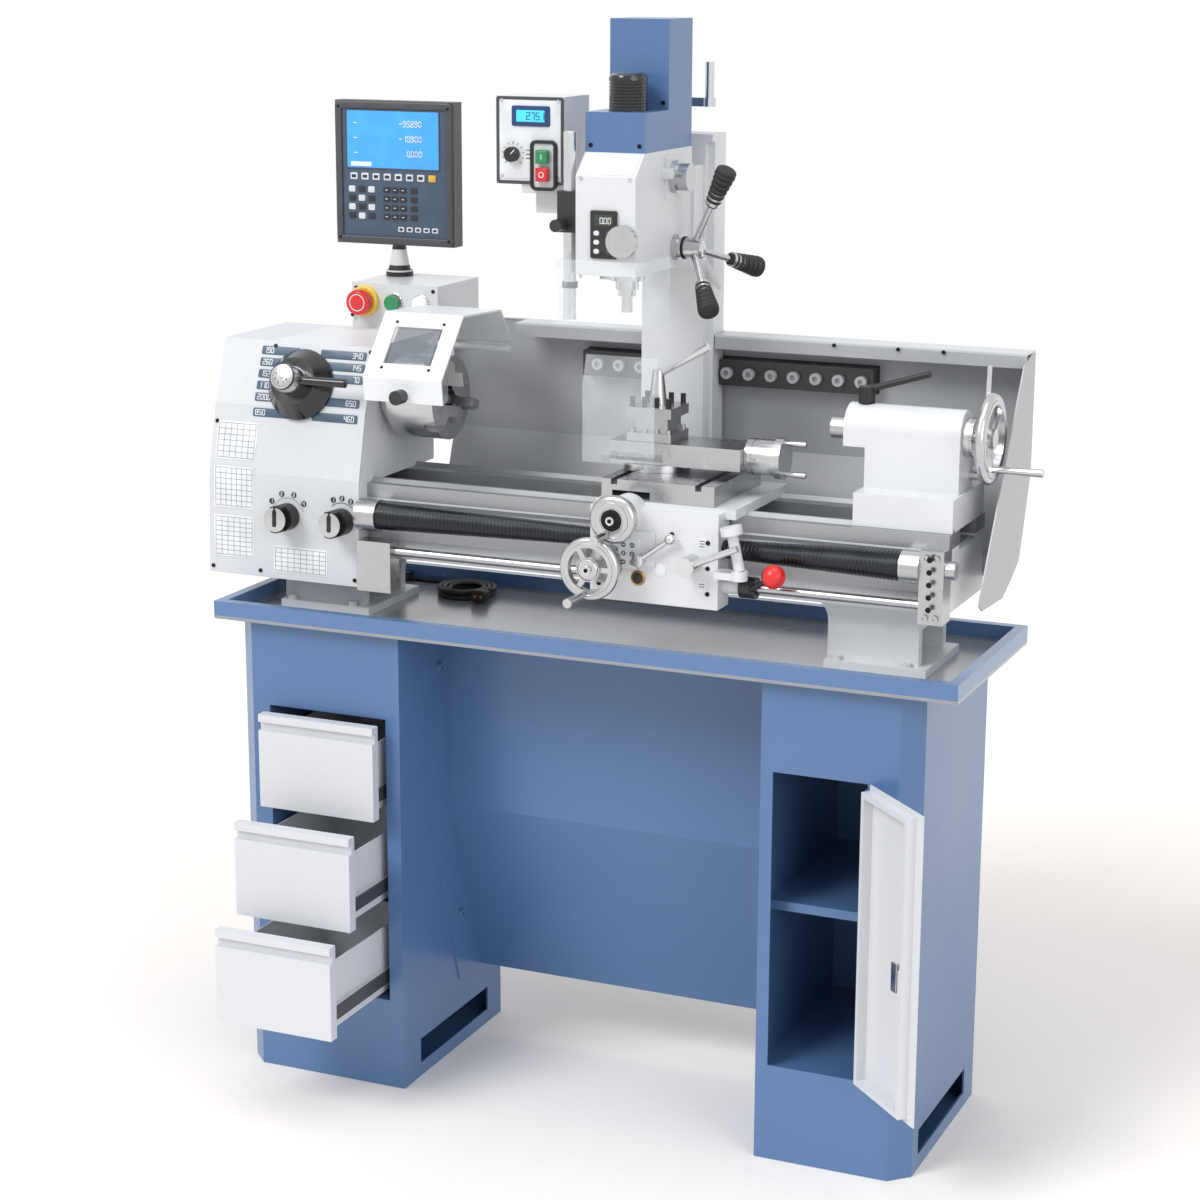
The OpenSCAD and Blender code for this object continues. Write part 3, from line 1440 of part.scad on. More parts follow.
module capstan() {
    x = head_x[1] + gap;
    root = [x + capstan_hub[2] * 2 / 3, 0, 0];
    tip = root + [capstan_lean, capstan_reach, 0];
    grip_from = tip - unit(tip - root) * capstan_grip[2];
    color("silver") translate([0, capstan_y, capstan_z]) {
        rod_x(capstan_shaft_r, [x - hole_depth, x], 0, 0);
        rod_x(capstan_hub[0], [x, x + 8], 0, 0);
        rod_x(capstan_hub[1], [x, x + capstan_hub[2]], 0, 0);
        for (a = capstan_angles) {
            rotate([a, 0, 0]) {
                bar(capstan_arm_r, root, grip_from);
                bar(capstan_grip[0], grip_from, tip);
            }
        }
    }
}

range_knob_size = [24, 26];
fine_knob_size = [23, 12];

module range_knob() {
    x = head_x[1] + range_plate[1] + gap;
    color("silver") {
        rod_x(small_knob_r, [x - hole_depth, x], range_y, range_z);
        rod_x(range_knob_size[0], [x, x + range_knob_size[1] / 3], range_y, range_z);
        rod_x(range_knob_size[0] * 5 / 6, [x, x + range_knob_size[1]], range_y, range_z);
    }
}

module fine_feed_knob() {
    y = head_y[0] - range_plate[1] - gap;
    color("silver") {
        rod_y(fine_knob_size[0], fine_x, [y - fine_knob_size[1], y], fine_z);
        rod_y(small_knob_r, fine_x, [y, y + hole_depth], fine_z);
    }
}

mill_guard_x = [-23, 114];
mill_guard_y = [-170, -70];
mill_guard_z = [head_z[0] - 68, head_z[0] + 25];
pane = 3;
post_z0 = [head_z[0] + 18, head_z[0] + 203];

module mill_guard() {
    x = mill_guard_x;
    color("silver") {
        rod_z(post_r, post_x0, post_y0, [mill_guard_z[0], post_z0[1]]);
    }
    color("lightcyan") {
        block(x, [mill_guard_y[0], mill_guard_y[0] + pane], mill_guard_z);
        block([x[0], x[0] + pane], [mill_guard_y[0], post_y0 - post_r], mill_guard_z);
        block([x[1] - pane, x[1]], mill_guard_y, mill_guard_z);
    }
}

// Control box of the mill on its arm from the column

mill_box_x = [-183, -72];
mill_box_y = [-30, 60];
mill_box_z = [ways_z + 461, ways_z + 590];
speed_x = -155;
speed_z = ways_z + 505;
switch_x = -104;
switch_z = ways_z + 503;
switch_plate = [39, 70, 3];
mill_button = [20, 20, 6];
mill_pitch = 26;
button_stem_r = 5;
arm_x = [-132, -96];
arm_plate_x = -88;
arm_z = [ways_z + 417, ways_z + 448];
pot_r = 11;
pot_shaft_r = 4;

module mill_box() {
    front = mill_box_y[0];
    color("whitesmoke") difference() {
        union() {
            block(mill_box_x, mill_box_y, mill_box_z);
            block([switch_x - switch_plate[0] / 2, switch_x + switch_plate[0] / 2], [front - switch_plate[2], front],
                [switch_z - (mill_pitch + switch_plate[1]) / 2, switch_z - (mill_pitch - switch_plate[1]) / 2]);
        }
        block([mill_box_x[0] + box_wall, mill_box_x[1] - box_wall], [front + box_wall, mill_box_y[1] - box_wall],
            [mill_box_z[0] + box_wall, mill_box_z[1] - box_wall]);
        rod_y(pot_shaft_r + shaft_fit, speed_x, [front - over, front + box_wall + over], speed_z);
        for (i = [-1, 1]) {
            rod_y(button_stem_r + shaft_fit, switch_x, [front - switch_plate[2] - over, front + box_wall + over],
                switch_z + (i - 1) * mill_pitch / 2);
        }
    }
    color("silver") {
        block([mill_box_x[0] + 2 * mill_button[0], arm_plate_x], [front + box_wall, column_y[0]],
            [arm_z[1], mill_box_z[0]]);
        block(arm_x, [0, column_y[1] - column_strip], arm_z);
        block([arm_x[1], column_x[0]], [column_y[0] + column_strip, column_y[1] - column_strip], arm_z);
    }
}

module mill_speed_knob() {
    y = mill_box_y[0] - gap;
    color("dimgray") {
        rod_y(pot_r, speed_x, [y - pot_r, y], speed_z);
        rod_y(pot_shaft_r, speed_x, [y, y + box_wall + 2], speed_z);
    }
}

module mill_button_at(z) {
    y = mill_box_y[0] - switch_plate[2] - 2 - gap;
    block([switch_x - mill_button[0] / 2, switch_x + mill_button[0] / 2], [y - mill_button[2], y],
        [z - mill_button[1] / 2, z + mill_button[1] / 2]);
    rod_y(button_stem_r, switch_x, [y, y + box_wall + switch_plate[2] + 2], z);
}

module mill_start_button() {
    color("green") mill_button_at(switch_z);
}

module mill_stop_button() {
    color("red") mill_button_at(switch_z - mill_pitch);
}

// Splash guard with its end plate and the scale rail

splash_x = [-362, 595];
splash_sheet = 2;
splash_y = 180;
splash_top = ways_z + 230;
splash_flange = 50;
splash_lip = 21;
splash_line = [
    [bed_depth / 2, ways_z - 97], [131, ways_z - 77], [156, ways_z - 17], [splash_y, ways_z + 49],
    [splash_y, splash_top], [splash_y - splash_flange, splash_top], [splash_y - splash_flange, splash_top - splash_lip]
];
splash_end = [
    [45, ways_z - 116], [-62, ways_z - 111], [-82, ways_z - 100], [119, splash_top - 15], [splash_y - 10, splash_top]
];
rail_bar_x = [-122, 355];
rail_bar_z = [ways_z + 150, ways_z + 190];
rail_bar_thickness = 26;
rail_screw_pitch = 36;
rail_screw_r = 9;

module splash_guard() {
    inner = splash_y - 2 * splash_sheet;
    notch_x = [column_x[0] - splash_sheet, column_x[1] + column_strip + splash_sheet];
    rail_y = [splash_y - splash_sheet - rail_bar_thickness, splash_y - splash_sheet];
    color("lightgray") {
        difference() {
            along_x(splash_x, sheet_outline(splash_line, splash_sheet));
            block([splash_x[0] - over, splash_x[1] + over], [0, bed_depth / 2], [bed_z[0], ways_z]);
            block(notch_x, [bed_depth / 2 - over, inner], [splash_line[0][1] - 3 * over, splash_top + over]);
            block([splash_x[0] - over, guard_x[1] + play], [guard_pivot_y, inner],
                [splash_top - splash_lip - over, splash_top + over]);
        }
        along_x([splash_x[1] - splash_sheet, splash_x[1]], concat([for (i = [4:-1:0]) splash_line[i]], splash_end));
    }
    color("dimgray") {
        block([rail_bar_x[0], notch_x[0]], rail_y, rail_bar_z);
        block([notch_x[1], rail_bar_x[1]], rail_y, rail_bar_z);
    }
    color("silver") {
        screw_heads([for (x = concat(
            [for (x = [notch_x[1] + rail_screw_r * 3 / 2:rail_screw_pitch:rail_bar_x[1] - rail_screw_r]) x],
            [for (x = [notch_x[0] - rail_screw_r * 3 / 2:-rail_screw_pitch:rail_bar_x[0] + rail_screw_r]) x]
        )) [x, rail_y[0], (rail_bar_z[0] + rail_bar_z[1]) / 2]], rail_screw_r, [90, 0, 0]);
    }
}

// Mains lead coiled in the tray

lead_r = 3.5;
coil_centre = [-310, 108];
coil_r = 48;
coil_pitch = 8.4;
coil_turns = 5.25;
lead_left = -430;
plug_size = [26, 46, 22];
grip_size = [14, 18, 16];
lead_z = tray_floor + lead_r;

function coil_point(s) = let (
    in = min(s, coil_turns - s),
    climb = min(1, max(0, (s - coil_turns / 2 + 1 / 4) * 2)),
    a = 90 - s * 360
) [
    coil_centre[0] + (coil_r - coil_pitch * in) * cos(a),
    coil_centre[1] + (coil_r - coil_pitch * in) * sin(a),
    lead_z + climb * coil_pitch
];
coil_steps = 24 * coil_turns;
coil_end = coil_point(coil_turns);
lead_path = concat(
    [for (i = [0:4]) [lead_left + i * (coil_centre[0] - lead_left) / 5, coil_centre[1] + coil_r, lead_z]],
    [for (i = [0:coil_steps]) coil_point(i / 24)],
    [coil_end - [0, 2 * lead_r, 0]]
);
function lead_along(i) = unit(lead_path[min(i + 1, len(lead_path) - 1)] - lead_path[max(i - 1, 0)]);
function lead_ring(i) = let (t = lead_along(i), s = unit(cross(t, [0, 0, 1])), u = cross(s, t)) [
    for (k = [0:5]) lead_path[i] + lead_r * (cos(60 * k) * s + sin(60 * k) * u)
];
lead_gap = min([
    for (i = [0:len(lead_path) - 1], j = [i + 8:len(lead_path) - 1]) norm(lead_path[i] - lead_path[j]) - 2 * lead_r
]);
echo(least_gap_between_the_loops = lead_gap);

module cable_coil() {
    n = len(lead_path);
    rings = [for (i = [0:n - 1]) each lead_ring(i)];
    sides = [for (i = [0:n - 2], k = [0:5]) each [
        [6 * i + k, 6 * i + (k + 1) % 6, 6 * i + 6 + (k + 1) % 6], [6 * i + k, 6 * i + 6 + (k + 1) % 6, 6 * i + 6 + k]
    ]];
    caps = [for (k = [1:4]) each [[0, k + 1, k], [6 * n - 6, 6 * n - 6 + k, 6 * n - 5 + k]]];
    plug_y = coil_end[1] - 2 * lead_r;
    grip_y = coil_centre[1] + coil_r;
    color("dimgray") {
        polyhedron(rings, concat(sides, caps));
        block([lead_left - grip_size[0], lead_left], [grip_y - grip_size[1] / 2, grip_y + grip_size[1] / 2],
            [tray_floor, tray_floor + grip_size[2]]);
        block([coil_end[0] - plug_size[0] / 2, coil_end[0] + plug_size[0] / 2], [plug_y - plug_size[1], plug_y],
            [tray_floor, tray_floor + plug_size[2]]);
    }
}

left_cabinet();
right_cabinet();
centre_panel();
chip_tray();
bed();
headstock();
headstock_cover();
control_box();
splash_guard();
mill_column();
mill_box();
cable_coil();
feed_rods();
screw_covers();
drawer_top();
drawer_middle();
drawer_bottom();
cabinet_door();
door_latch();
lathe_spindle();
chuck_jaw_1();
chuck_jaw_2();
chuck_jaw_3();
chuck_guard();
speed_dial();
feed_selector_left();
feed_selector_right();
stop_button();
start_button();
dro_display();
carriage();
carriage_handwheel();
cross_slide();
cross_handwheel();
compound_base();
top_slide();
toolpost_shield();
top_handwheel();
toolpost();
toolpost_handle();
half_nut_lever();
feed_lever();
rod_lever();
tailstock();
tailstock_quill();
tail_handwheel();
quill_lever();
bed_clamp_lever();
mill_head();
mill_cover();
column_crank();
mill_quill();
mill_spindle();
capstan();
range_knob();
fine_feed_knob();
mill_guard();
mill_speed_knob();
mill_start_button();
mill_stop_button();
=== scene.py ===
"""Combination lathe mill on its cabinet stand: finishes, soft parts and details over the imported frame."""

import math

import bpy
import numpy as np
from mathutils import Matrix, Vector


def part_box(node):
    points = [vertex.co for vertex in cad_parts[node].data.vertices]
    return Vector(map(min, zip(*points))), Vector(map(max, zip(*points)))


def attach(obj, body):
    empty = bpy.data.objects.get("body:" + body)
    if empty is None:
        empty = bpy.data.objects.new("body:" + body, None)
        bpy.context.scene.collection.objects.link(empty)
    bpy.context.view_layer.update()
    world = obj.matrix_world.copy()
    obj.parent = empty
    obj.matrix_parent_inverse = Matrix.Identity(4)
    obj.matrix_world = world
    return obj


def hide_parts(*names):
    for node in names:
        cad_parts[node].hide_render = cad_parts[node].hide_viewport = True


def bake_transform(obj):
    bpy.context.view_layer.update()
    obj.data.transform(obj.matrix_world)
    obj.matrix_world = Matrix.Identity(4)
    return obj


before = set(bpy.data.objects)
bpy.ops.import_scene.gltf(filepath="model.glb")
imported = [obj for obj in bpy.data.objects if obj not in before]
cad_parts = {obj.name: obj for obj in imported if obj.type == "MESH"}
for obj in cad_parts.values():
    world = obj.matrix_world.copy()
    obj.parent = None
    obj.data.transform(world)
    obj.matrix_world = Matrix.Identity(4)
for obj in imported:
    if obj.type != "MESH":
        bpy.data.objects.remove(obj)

bl_info = {
    "name": "Combination lathe mill",
    "version": (1, 0, 0),
    "blender": (4, 5, 0),
    "location": "3D View > Sidebar > Lathe mill",
    "description": "Dresses the packed combination lathe mill with its finishes and details",
    "category": "Object",
}

# Places measured from the floor's centre, in millimetres

FRONT = ((1, 0, 0), (0, 0, 1))
RIGHT_SIDE = ((0, 1, 0), (0, 0, 1))
COVER_LINE = ((-127.0, 802.0), (-119.0, 966.0), (-95.0, 1068.0), (-59.0, 1166.0))
SCREW_AXIS = (-115.0, 916.0)
LEAD_LEFT = -430.0
COIL_CENTRE = (-310.0, 108.0)
COIL_R = 48.0
COIL_PITCH = 8.4
COIL_TURNS = 5.25
LEAD_Z = 749.5
APRON_FRONT = -140
FEED_PLATE = (84, -144, 902)
BOX_FRONT = 133
BUTTON_Z = 1209
STOP_X, START_X, LAMP_X = -499, -447, -398
DISPLAY_X, DISPLAY_Z = -494, 1405.6
DISPLAY_FRONT, DISPLAY_BACK = 230, 260
SPEED_DIAL = (-496, 1103)
SELECTORS = (("feed_selector_left", -503), ("feed_selector_right", -407))
SELECTOR_Z = 902
MILL_BOX_FACE = (-127.5, -30, 1485.5)
SWITCH_X, SWITCH_Z = -104, 1450
MOTOR_CAP = (42, -58, 1535)
HEAD_X, HEAD_FRONT = 41.5, -138
HUB_X, HUB_Y, HUB_Z = 88.3, 13, 1334
GUARD_POST = (-23, -118, 1237.2)
EDGE_TURN = np.linspace(0, math.pi / 2, 4)


def linear(code):
    """Linear colour with alpha one of a six-digit sRGB code."""
    parts = [int(code[i:i + 2], 16) / 255 for i in (0, 2, 4)]
    return tuple(c / 12.92 if c <= 0.04045 else ((c + 0.055) / 1.055) ** 2.4 for c in parts) + (1.0,)


def colour_property(name, code, description):
    """Colour property of a finish that a user would change."""
    return bpy.props.FloatVectorProperty(
        name=name, description=description, subtype="COLOR", size=4, min=0.0, max=1.0, default=linear(code))


class LatheMillColours(bpy.types.PropertyGroup):
    """Colours of the machine's finishes."""
    blue: colour_property("Stand enamel", "50719D", "Enamel of the stand, the tray and the motor cover")
    casting: colour_property("Casting paint", "D8DADC", "Paint of the bed, the carriage and the heads")
    sheet: colour_property("Sheet paint", "C6C9CC", "Paint of the splash guard, the boxes and the guards")
    drawer: colour_property("Drawer paint", "CFD1D5", "Satin paint of the drawer fronts")
    steel: colour_property("Bright steel", "B9BABC", "Ground and turned steel")
    plastic: colour_property("Black plastic", "17181A", "Grips, knobs and display case")
    red: colour_property("Red", "D81E22", "Stop buttons and the ball of the rod lever")
    green: colour_property("Green", "1F8A55", "Start buttons")
    screen: colour_property("Display", "3E93DC", "Lit face of the displays")


class LatheMillSizes(bpy.types.PropertyGroup):
    """Sizes of the pieces that the scene adds."""
    lead: bpy.props.FloatProperty(
        name="Lead", description="Diameter of the mains lead", unit="LENGTH", subtype="DISTANCE",
        default=0.007)
    cover_turn: bpy.props.FloatProperty(
        name="Cover pitch", description="Pitch of the turns of the screw covers", unit="LENGTH",
        subtype="DISTANCE", default=0.006)
    label: bpy.props.FloatProperty(
        name="Plate thickness", description="Thickness of the bare plates", unit="LENGTH", subtype="DISTANCE",
        default=0.0008)


# Shapes

def outward(verts, tris):
    """Triangles turned so that the closed surface's signed volume is positive."""
    a, b, c = (verts[tris[:, i]] for i in range(3))
    if np.einsum("ij,ij->i", a, np.cross(b, c)).sum() < 0:
        tris = tris[:, ::-1]
    return tris


def quads(a, b, c, d):
    """Two triangles for each square of four corner numbers."""
    a, b, c, d = a.ravel(), b.ravel(), c.ravel(), d.ravel()
    return np.vstack([np.column_stack([a, b, c]), np.column_stack([a, c, d])])


def closed_grid(rows, start, end):
    """Closed surface of rows of points, each row a ring, with a pole point at both ends."""
    count, around = rows.shape[:2]
    verts = np.vstack([rows.reshape(-1, 3), [start], [end]])
    i, j = np.meshgrid(np.arange(count - 1), np.arange(around), indexing="ij")
    k = (j + 1) % around
    around_ring = np.arange(around)
    after = (around_ring + 1) % around
    low, high = count * around, count * around + 1
    last = (count - 1) * around
    tris = np.vstack([
        quads(i * around + j, i * around + k, (i + 1) * around + k, (i + 1) * around + j),
        np.column_stack([np.full(around, low), after, around_ring]),
        np.column_stack([np.full(around, high), last + around_ring, last + after])])
    return verts, outward(verts, tris)


def wrapped_grid(rows):
    """Closed surface of rows of points that meet their first row again, like a torus."""
    count, around = rows.shape[:2]
    i, j = np.meshgrid(np.arange(count), np.arange(around), indexing="ij")
    n, m = (i + 1) % count, (j + 1) % around
    verts = rows.reshape(-1, 3)
    return verts, outward(verts, quads(i * around + j, i * around + m, n * around + m, n * around + j))


def revolved(profile, sides=48):
    """Solid of revolution about w: radius and height along the profile, angle around it."""
    line = np.array(profile, float)
    angle = np.linspace(0, 2 * math.pi, sides, endpoint=False)
    inner = line[1:-1]
    rows = np.stack([
        inner[:, :1] * np.cos(angle), inner[:, :1] * np.sin(angle), np.repeat(inner[:, 1:], sides,
            axis=1)], axis=2)
    return closed_grid(rows, (0, 0, line[0, 1]), (0, 0, line[-1, 1]))


def ring(radius, section, sides=48):
    """Closed ring about w: each point of the section is a step outwards from the radius and a height."""
    part = np.array(section, float)
    angle = np.linspace(0, 2 * math.pi, sides, endpoint=False)
    around = radius + part[:, 0]
    verts = np.stack([
        np.outer(np.cos(angle), around), np.outer(np.sin(angle), around), np.tile(part[:, 1],
            (sides, 1))], axis=2)
    return wrapped_grid(verts)


def rounded_outline(width, height, corner, steps=6):
    """Rectangle about the origin whose corners are quarter circles of the corner radius."""
    corner = min(corner, width / 2, height / 2)
    turn = np.linspace(0, math.pi / 2, steps)
    points = []
    for quarter, (sx, sy) in enumerate(((1, 1), (-1, 1), (-1, -1), (1, -1))):
        angle = turn + quarter * math.pi / 2
        points.append(np.column_stack([
            sx * (width / 2 - corner) + corner * np.cos(angle),
            sy * (height / 2 - corner) + corner * np.sin(angle)]))
    return np.vstack(points)


def rounded_edge(depth, edge):
    """Inset and height of the steps of a quarter round that ends at a depth."""
    return [(edge * (1 - math.cos(t)), depth - edge + edge * math.sin(t)) for t in EDGE_TURN]


def outline_rows(width, height, corner, path, least):
    """Rounded outlines at each inset and height of a path."""
    rows = []
    for inset, level in path:
        flat = rounded_outline(width - 2 * inset, height - 2 * inset, max(corner - inset, least))
        rows.append(np.column_stack([flat, np.full(len(flat), level)]))
    return np.array(rows)


def slab(width, height, depth, corner=2.0, edge=0.6, sink=0.0):
    """Plate of rounded outline from w = -sink to depth, its front edge a quarter round of radius edge."""
    rows = outline_rows(width, height, corner, [(0.0, -sink)] + rounded_edge(depth, edge), 0.05)
    return closed_grid(rows, (0, 0, -sink), (0, 0, depth))


def frame_slab(width, height, border, depth, corner=6.0, edge=1.0, sink=0.0):
    """Picture-frame ring: up the outer outline to the front, down the inner one, closed on itself."""
    rise = rounded_edge(depth, edge)
    path = [(0.0, -sink)] + rise + [(border - inset, level) for inset,
        level in rise[::-1]] + [(border, -sink)]
    return wrapped_grid(outline_rows(width, height, corner, path, 0.3))


def tube(path, radius, sides=12):
    """Round tube: distance along a path and angle around it, the frame carried along without twist."""
    line = np.array(path, float)
    radii = np.broadcast_to(np.asarray(radius, float), (len(line),))
    along = np.gradient(line, axis=0)
    along /= np.linalg.norm(along, axis=1, keepdims=True)
    side = np.cross(along[0], (0.0, 0.0, 1.0) if abs(along[0][2]) < 0.9 else (1.0, 0.0, 0.0))
    sides_at = [side / np.linalg.norm(side)]
    for step in range(1, len(line)):
        side = sides_at[-1] - along[step] * float(sides_at[-1] @ along[step])
        sides_at.append(side / np.linalg.norm(side))
    across = np.array(sides_at)
    lift = np.cross(along, across)
    angle = np.linspace(0, 2 * math.pi, sides, endpoint=False)
    rows = line[:, None] + radii[:, None, None] * (
        np.cos(angle)[None, :, None] * across[:, None] + np.sin(angle)[None, :, None] * lift[:, None])
    return closed_grid(rows, line[0], line[-1])


def strip(length, width, depth):
    """Straight stroke along u from its middle, for digits, rules and ticks."""
    return slab(length, width, depth, corner=width / 3, edge=min(depth, width) / 4)


def moved(part, u=0.0, v=0.0, w=0.0, turn=0.0):
    """Part turned in its plane by degrees and then stepped along u, v and w."""
    verts, tris = part
    c, s = math.cos(math.radians(turn)), math.sin(math.radians(turn))
    spin = np.array(((c, -s, 0), (s, c, 0), (0, 0, 1)))
    return verts @ spin.T + (u, v, w), tris


def polar(radius, degrees):
    """Point in a face's plane at a radius and an angle."""
    return radius * math.cos(math.radians(degrees)), radius * math.sin(math.radians(degrees))


def joined(parts):
    """One set of points and triangles from several."""
    verts, tris, start = [], [], 0
    for part in parts:
        verts.append(part[0])
        tris.append(part[1] + start)
        start += len(part[0])
    return np.vstack(verts), np.vstack(tris)


SEGMENTS = {
    "0": "abcdef", "1": "bc", "2": "abged", "3": "abgcd", "4": "fgbc", "5": "afgcd", "6": "afgedc", "7": "abc",
    "8": "abcdefg", "9": "abcdfg", "-": "g"}
STROKES = {
    "a": (0, 1, 0), "b": (0.5, 0.5, 90), "c": (0.5, -0.5, 90), "d": (0, -1, 0), "e": (-0.5, -0.5, 90),
    "f": (-0.5, 0.5, 90), "g": (0, 0, 0)}


def digits(text, height, stroke, depth=0.3):
    """Row of plain numerals whose strokes are seven straight bars, centred on the origin."""
    half = height / 2
    step = height * 0.78
    marks = []
    place = -step * (len(text.replace(".", "")) - 1) / 2
    for sign in text:
        if sign == ".":
            marks.append(moved(strip(stroke * 1.3, stroke * 1.3, depth), place - step / 2, -half))
            continue
        for name in SEGMENTS[sign]:
            u, v, turn = STROKES[name]
            marks.append(moved(strip(half + stroke, stroke, depth), place + u * half, v * half, 0, turn))
        place += step
    return joined(marks)


def screw(radius, height=2.0):
    """Socket head: rounded rim, flat top and a sunk bore, as a profile turned about w."""
    return revolved((
        (0, 0), (radius, 0), (radius, height * 0.7), (radius * 0.9, height), (radius * 0.55, height),
        (radius * 0.5, height * 0.35), (0, height * 0.35)), 20)


def disc(radius, height, edge=0.4, sides=40):
    """Flat round plate with a rounded front edge, turned about w."""
    return revolved(((0, 0), (radius, 0), (radius, height - edge), (radius - edge * 0.3, height - edge * 0.3),
                     (radius - edge, height), (0, height)), sides)


# Objects

def facing(origin, right, up):
    """Matrix from a face's own u, v and outward w, in millimetres, to the row frame."""
    u = np.array(right, float)
    v = np.array(up, float)
    u /= np.linalg.norm(u)
    v /= np.linalg.norm(v)
    w = np.cross(u, v)
    place = np.eye(4)
    place[:3, 0], place[:3, 1], place[:3, 2], place[:3, 3] = u, v, w, origin
    return place


def on_cover(x, z):
    """Face of the headstock's front panel at x and height z."""
    low, high = next((a, b) for a, b in zip(COVER_LINE, COVER_LINE[1:]) if z <= b[1] or b is COVER_LINE[-1])
    share = (z - low[1]) / (high[1] - low[1])
    return facing((x, low[0] + (high[0] - low[0]) * share, z), (1, 0, 0),
        (0, high[0] - low[0], high[1] - low[1]))


def on_front(x, y, z):
    """Face that looks to the front at a point."""
    return facing((x, y, z), *FRONT)


def on_side(x, y, z):
    """Face that looks to the right at a point."""
    return facing((x, y, z), *RIGHT_SIDE)


def on_top(x, y, z):
    """Face that looks up at a point."""
    return facing((x, y, z), (1, 0, 0), (0, 1, 0))


def piece(name, parts, body):
    """Object of placed parts, each a shape, its face and its material, riding on a body if one is given."""
    verts, tris, faces_of, materials, start = [], [], [], [], 0
    for shape, place, material in parts:
        points = shape[0] @ place[:3, :3].T + place[:3, 3]
        verts.append(points * 0.001)
        tris.append(shape[1] + start)
        if material not in materials:
            materials.append(material)
        faces_of.append(np.full(len(shape[1]), materials.index(material)))
        start += len(points)
    verts, tris, faces_of = np.vstack(verts), np.vstack(tris), np.concatenate(faces_of)
    mesh = bpy.data.meshes.new(name)
    mesh.from_pydata(verts.tolist(), [], tris.tolist())
    for material in materials:
        mesh.materials.append(finish(material))
    mesh.polygons.foreach_set("material_index", faces_of.astype(np.int32))
    mesh.update()
    mesh.shade_smooth()
    mesh.set_sharp_from_angle(angle=math.radians(35))
    made = bpy.data.objects.new(name, mesh)
    bpy.context.scene.collection.objects.link(made)
    if body:
        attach(made, body)
    return made


def put(parts, place, look, shape, *steps):
    """Adds a shape in a look, moved by steps in its face, to the parts of a piece."""
    parts.append((moved(shape, *steps), place, look))


# Finishes

def new_group(name, roughness, extra):
    """Shader group with the sockets that all finishes share and some more inputs."""
    group = bpy.data.node_groups.new(name, "ShaderNodeTree")
    inputs = [("Vector", "NodeSocketVector", None), ("Colour", "NodeSocketColor", (1, 1, 1, 1)),
              ("Roughness", "NodeSocketFloat", roughness)]
    for label, kind, value in inputs + extra:
        socket = group.interface.new_socket(name=label, in_out="INPUT", socket_type=kind)
        if value is not None:
            socket.default_value = value
    for label, kind in (("Base Color", "NodeSocketColor"), ("Roughness", "NodeSocketFloat"),
        ("Height", "NodeSocketFloat")):
        group.interface.new_socket(name=label, in_out="OUTPUT", socket_type=kind)
    start = group.nodes.new("NodeGroupInput")
    return group, start.outputs, group.nodes.new("NodeGroupOutput")


def node(tree, kind, links=None, **settings):
    """Node with its settings and incoming links or values by socket."""
    made = tree.nodes.new(kind)
    for key, value in settings.items():
        setattr(made, key, value)
    for socket, value in (links or {}).items():
        if isinstance(value, bpy.types.NodeSocket):
            tree.links.new(value, made.inputs[socket])
        else:
            made.inputs[socket].default_value = value
    return made


def calc(tree, operation, *values):
    """Result of a math node on sockets or numbers."""
    return node(tree, "ShaderNodeMath", dict(enumerate(values)), operation=operation).outputs[0]


def spread(tree, value, span, result):
    """Result of mapping a field from one span to another."""
    return node(tree, "ShaderNodeMapRange", {
        "Value": value, "From Min": span[0], "From Max": span[1],
        "To Min": result[0], "To Max": result[1]}).outputs[0]


def noise(tree, vector, scale, detail, **more):
    """Field of a noise texture."""
    return node(tree, "ShaderNodeTexNoise",
        {"Vector": vector, "Scale": scale, "Detail": detail, **more}).outputs["Fac"]


def drift(tree, field, amount):
    """Factor about one that swings with a field by an amount."""
    return calc(tree, "MULTIPLY_ADD", calc(tree, "SUBTRACT", field, 0.5), amount, 1.0)


def close_group(group, given, end, factor, shift, height):
    """Leads the scaled colour, the shifted roughness and the bump height out of a group."""
    tone = node(group, "ShaderNodeVectorMath", {0: given["Colour"]}, operation="SCALE")
    group.links.new(factor, tone.inputs["Scale"])
    group.links.new(tone.outputs[0], end.inputs["Base Color"])
    group.links.new(calc(group, "ADD", shift, given["Roughness"]), end.inputs["Roughness"])
    group.links.new(height, end.inputs["Height"])
    return group


def paint_group():
    """Sprayed paint: broad tone drift, fine dust specks and orange peel."""
    group, given, end = new_group(
        "Sprayed paint", 0.4, [("Peel", "NodeSocketFloat", 260.0), ("Drift", "NodeSocketFloat", 0.1)])
    broad = noise(group, given["Vector"], 3.1, 4.0, Roughness=0.6)
    fine = noise(group, given["Vector"], 140.0, 3.0)
    peel = noise(group, given["Vector"], given["Peel"], 2.0)
    speck = spread(group, fine, (0.3, 0.7), (0.985, 1.01))
    factor = calc(group, "MULTIPLY", drift(group, broad, given["Drift"]), speck)
    return close_group(group, given, end, factor, spread(group, broad, (0.3, 0.7), (-0.05, 0.06)), peel)


def metal_group():
    """Machined metal: fine lines stretched along the cut, with blotches in the shine."""
    group, given, end = new_group(
        "Machined metal", 0.3, [("Lines", "NodeSocketVector", (40.0, 900.0, 900.0)),
            ("Depth", "NodeSocketFloat", 0.12)])
    drawn = node(group, "ShaderNodeVectorMath", {0: given["Vector"], 1: given["Lines"]}, operation="MULTIPLY")
    lines = noise(group, drawn.outputs[0], 1.0, 3.0)
    blotch = noise(group, given["Vector"], 22.0, 4.0)
    stain = spread(group, blotch, (0.3, 0.75), (0.93, 1.03))
    factor = calc(group, "MULTIPLY", drift(group, lines, given["Depth"]), stain)
    return close_group(group, given, end, factor, spread(group, blotch, (0.3, 0.7), (-0.06, 0.08)), lines)


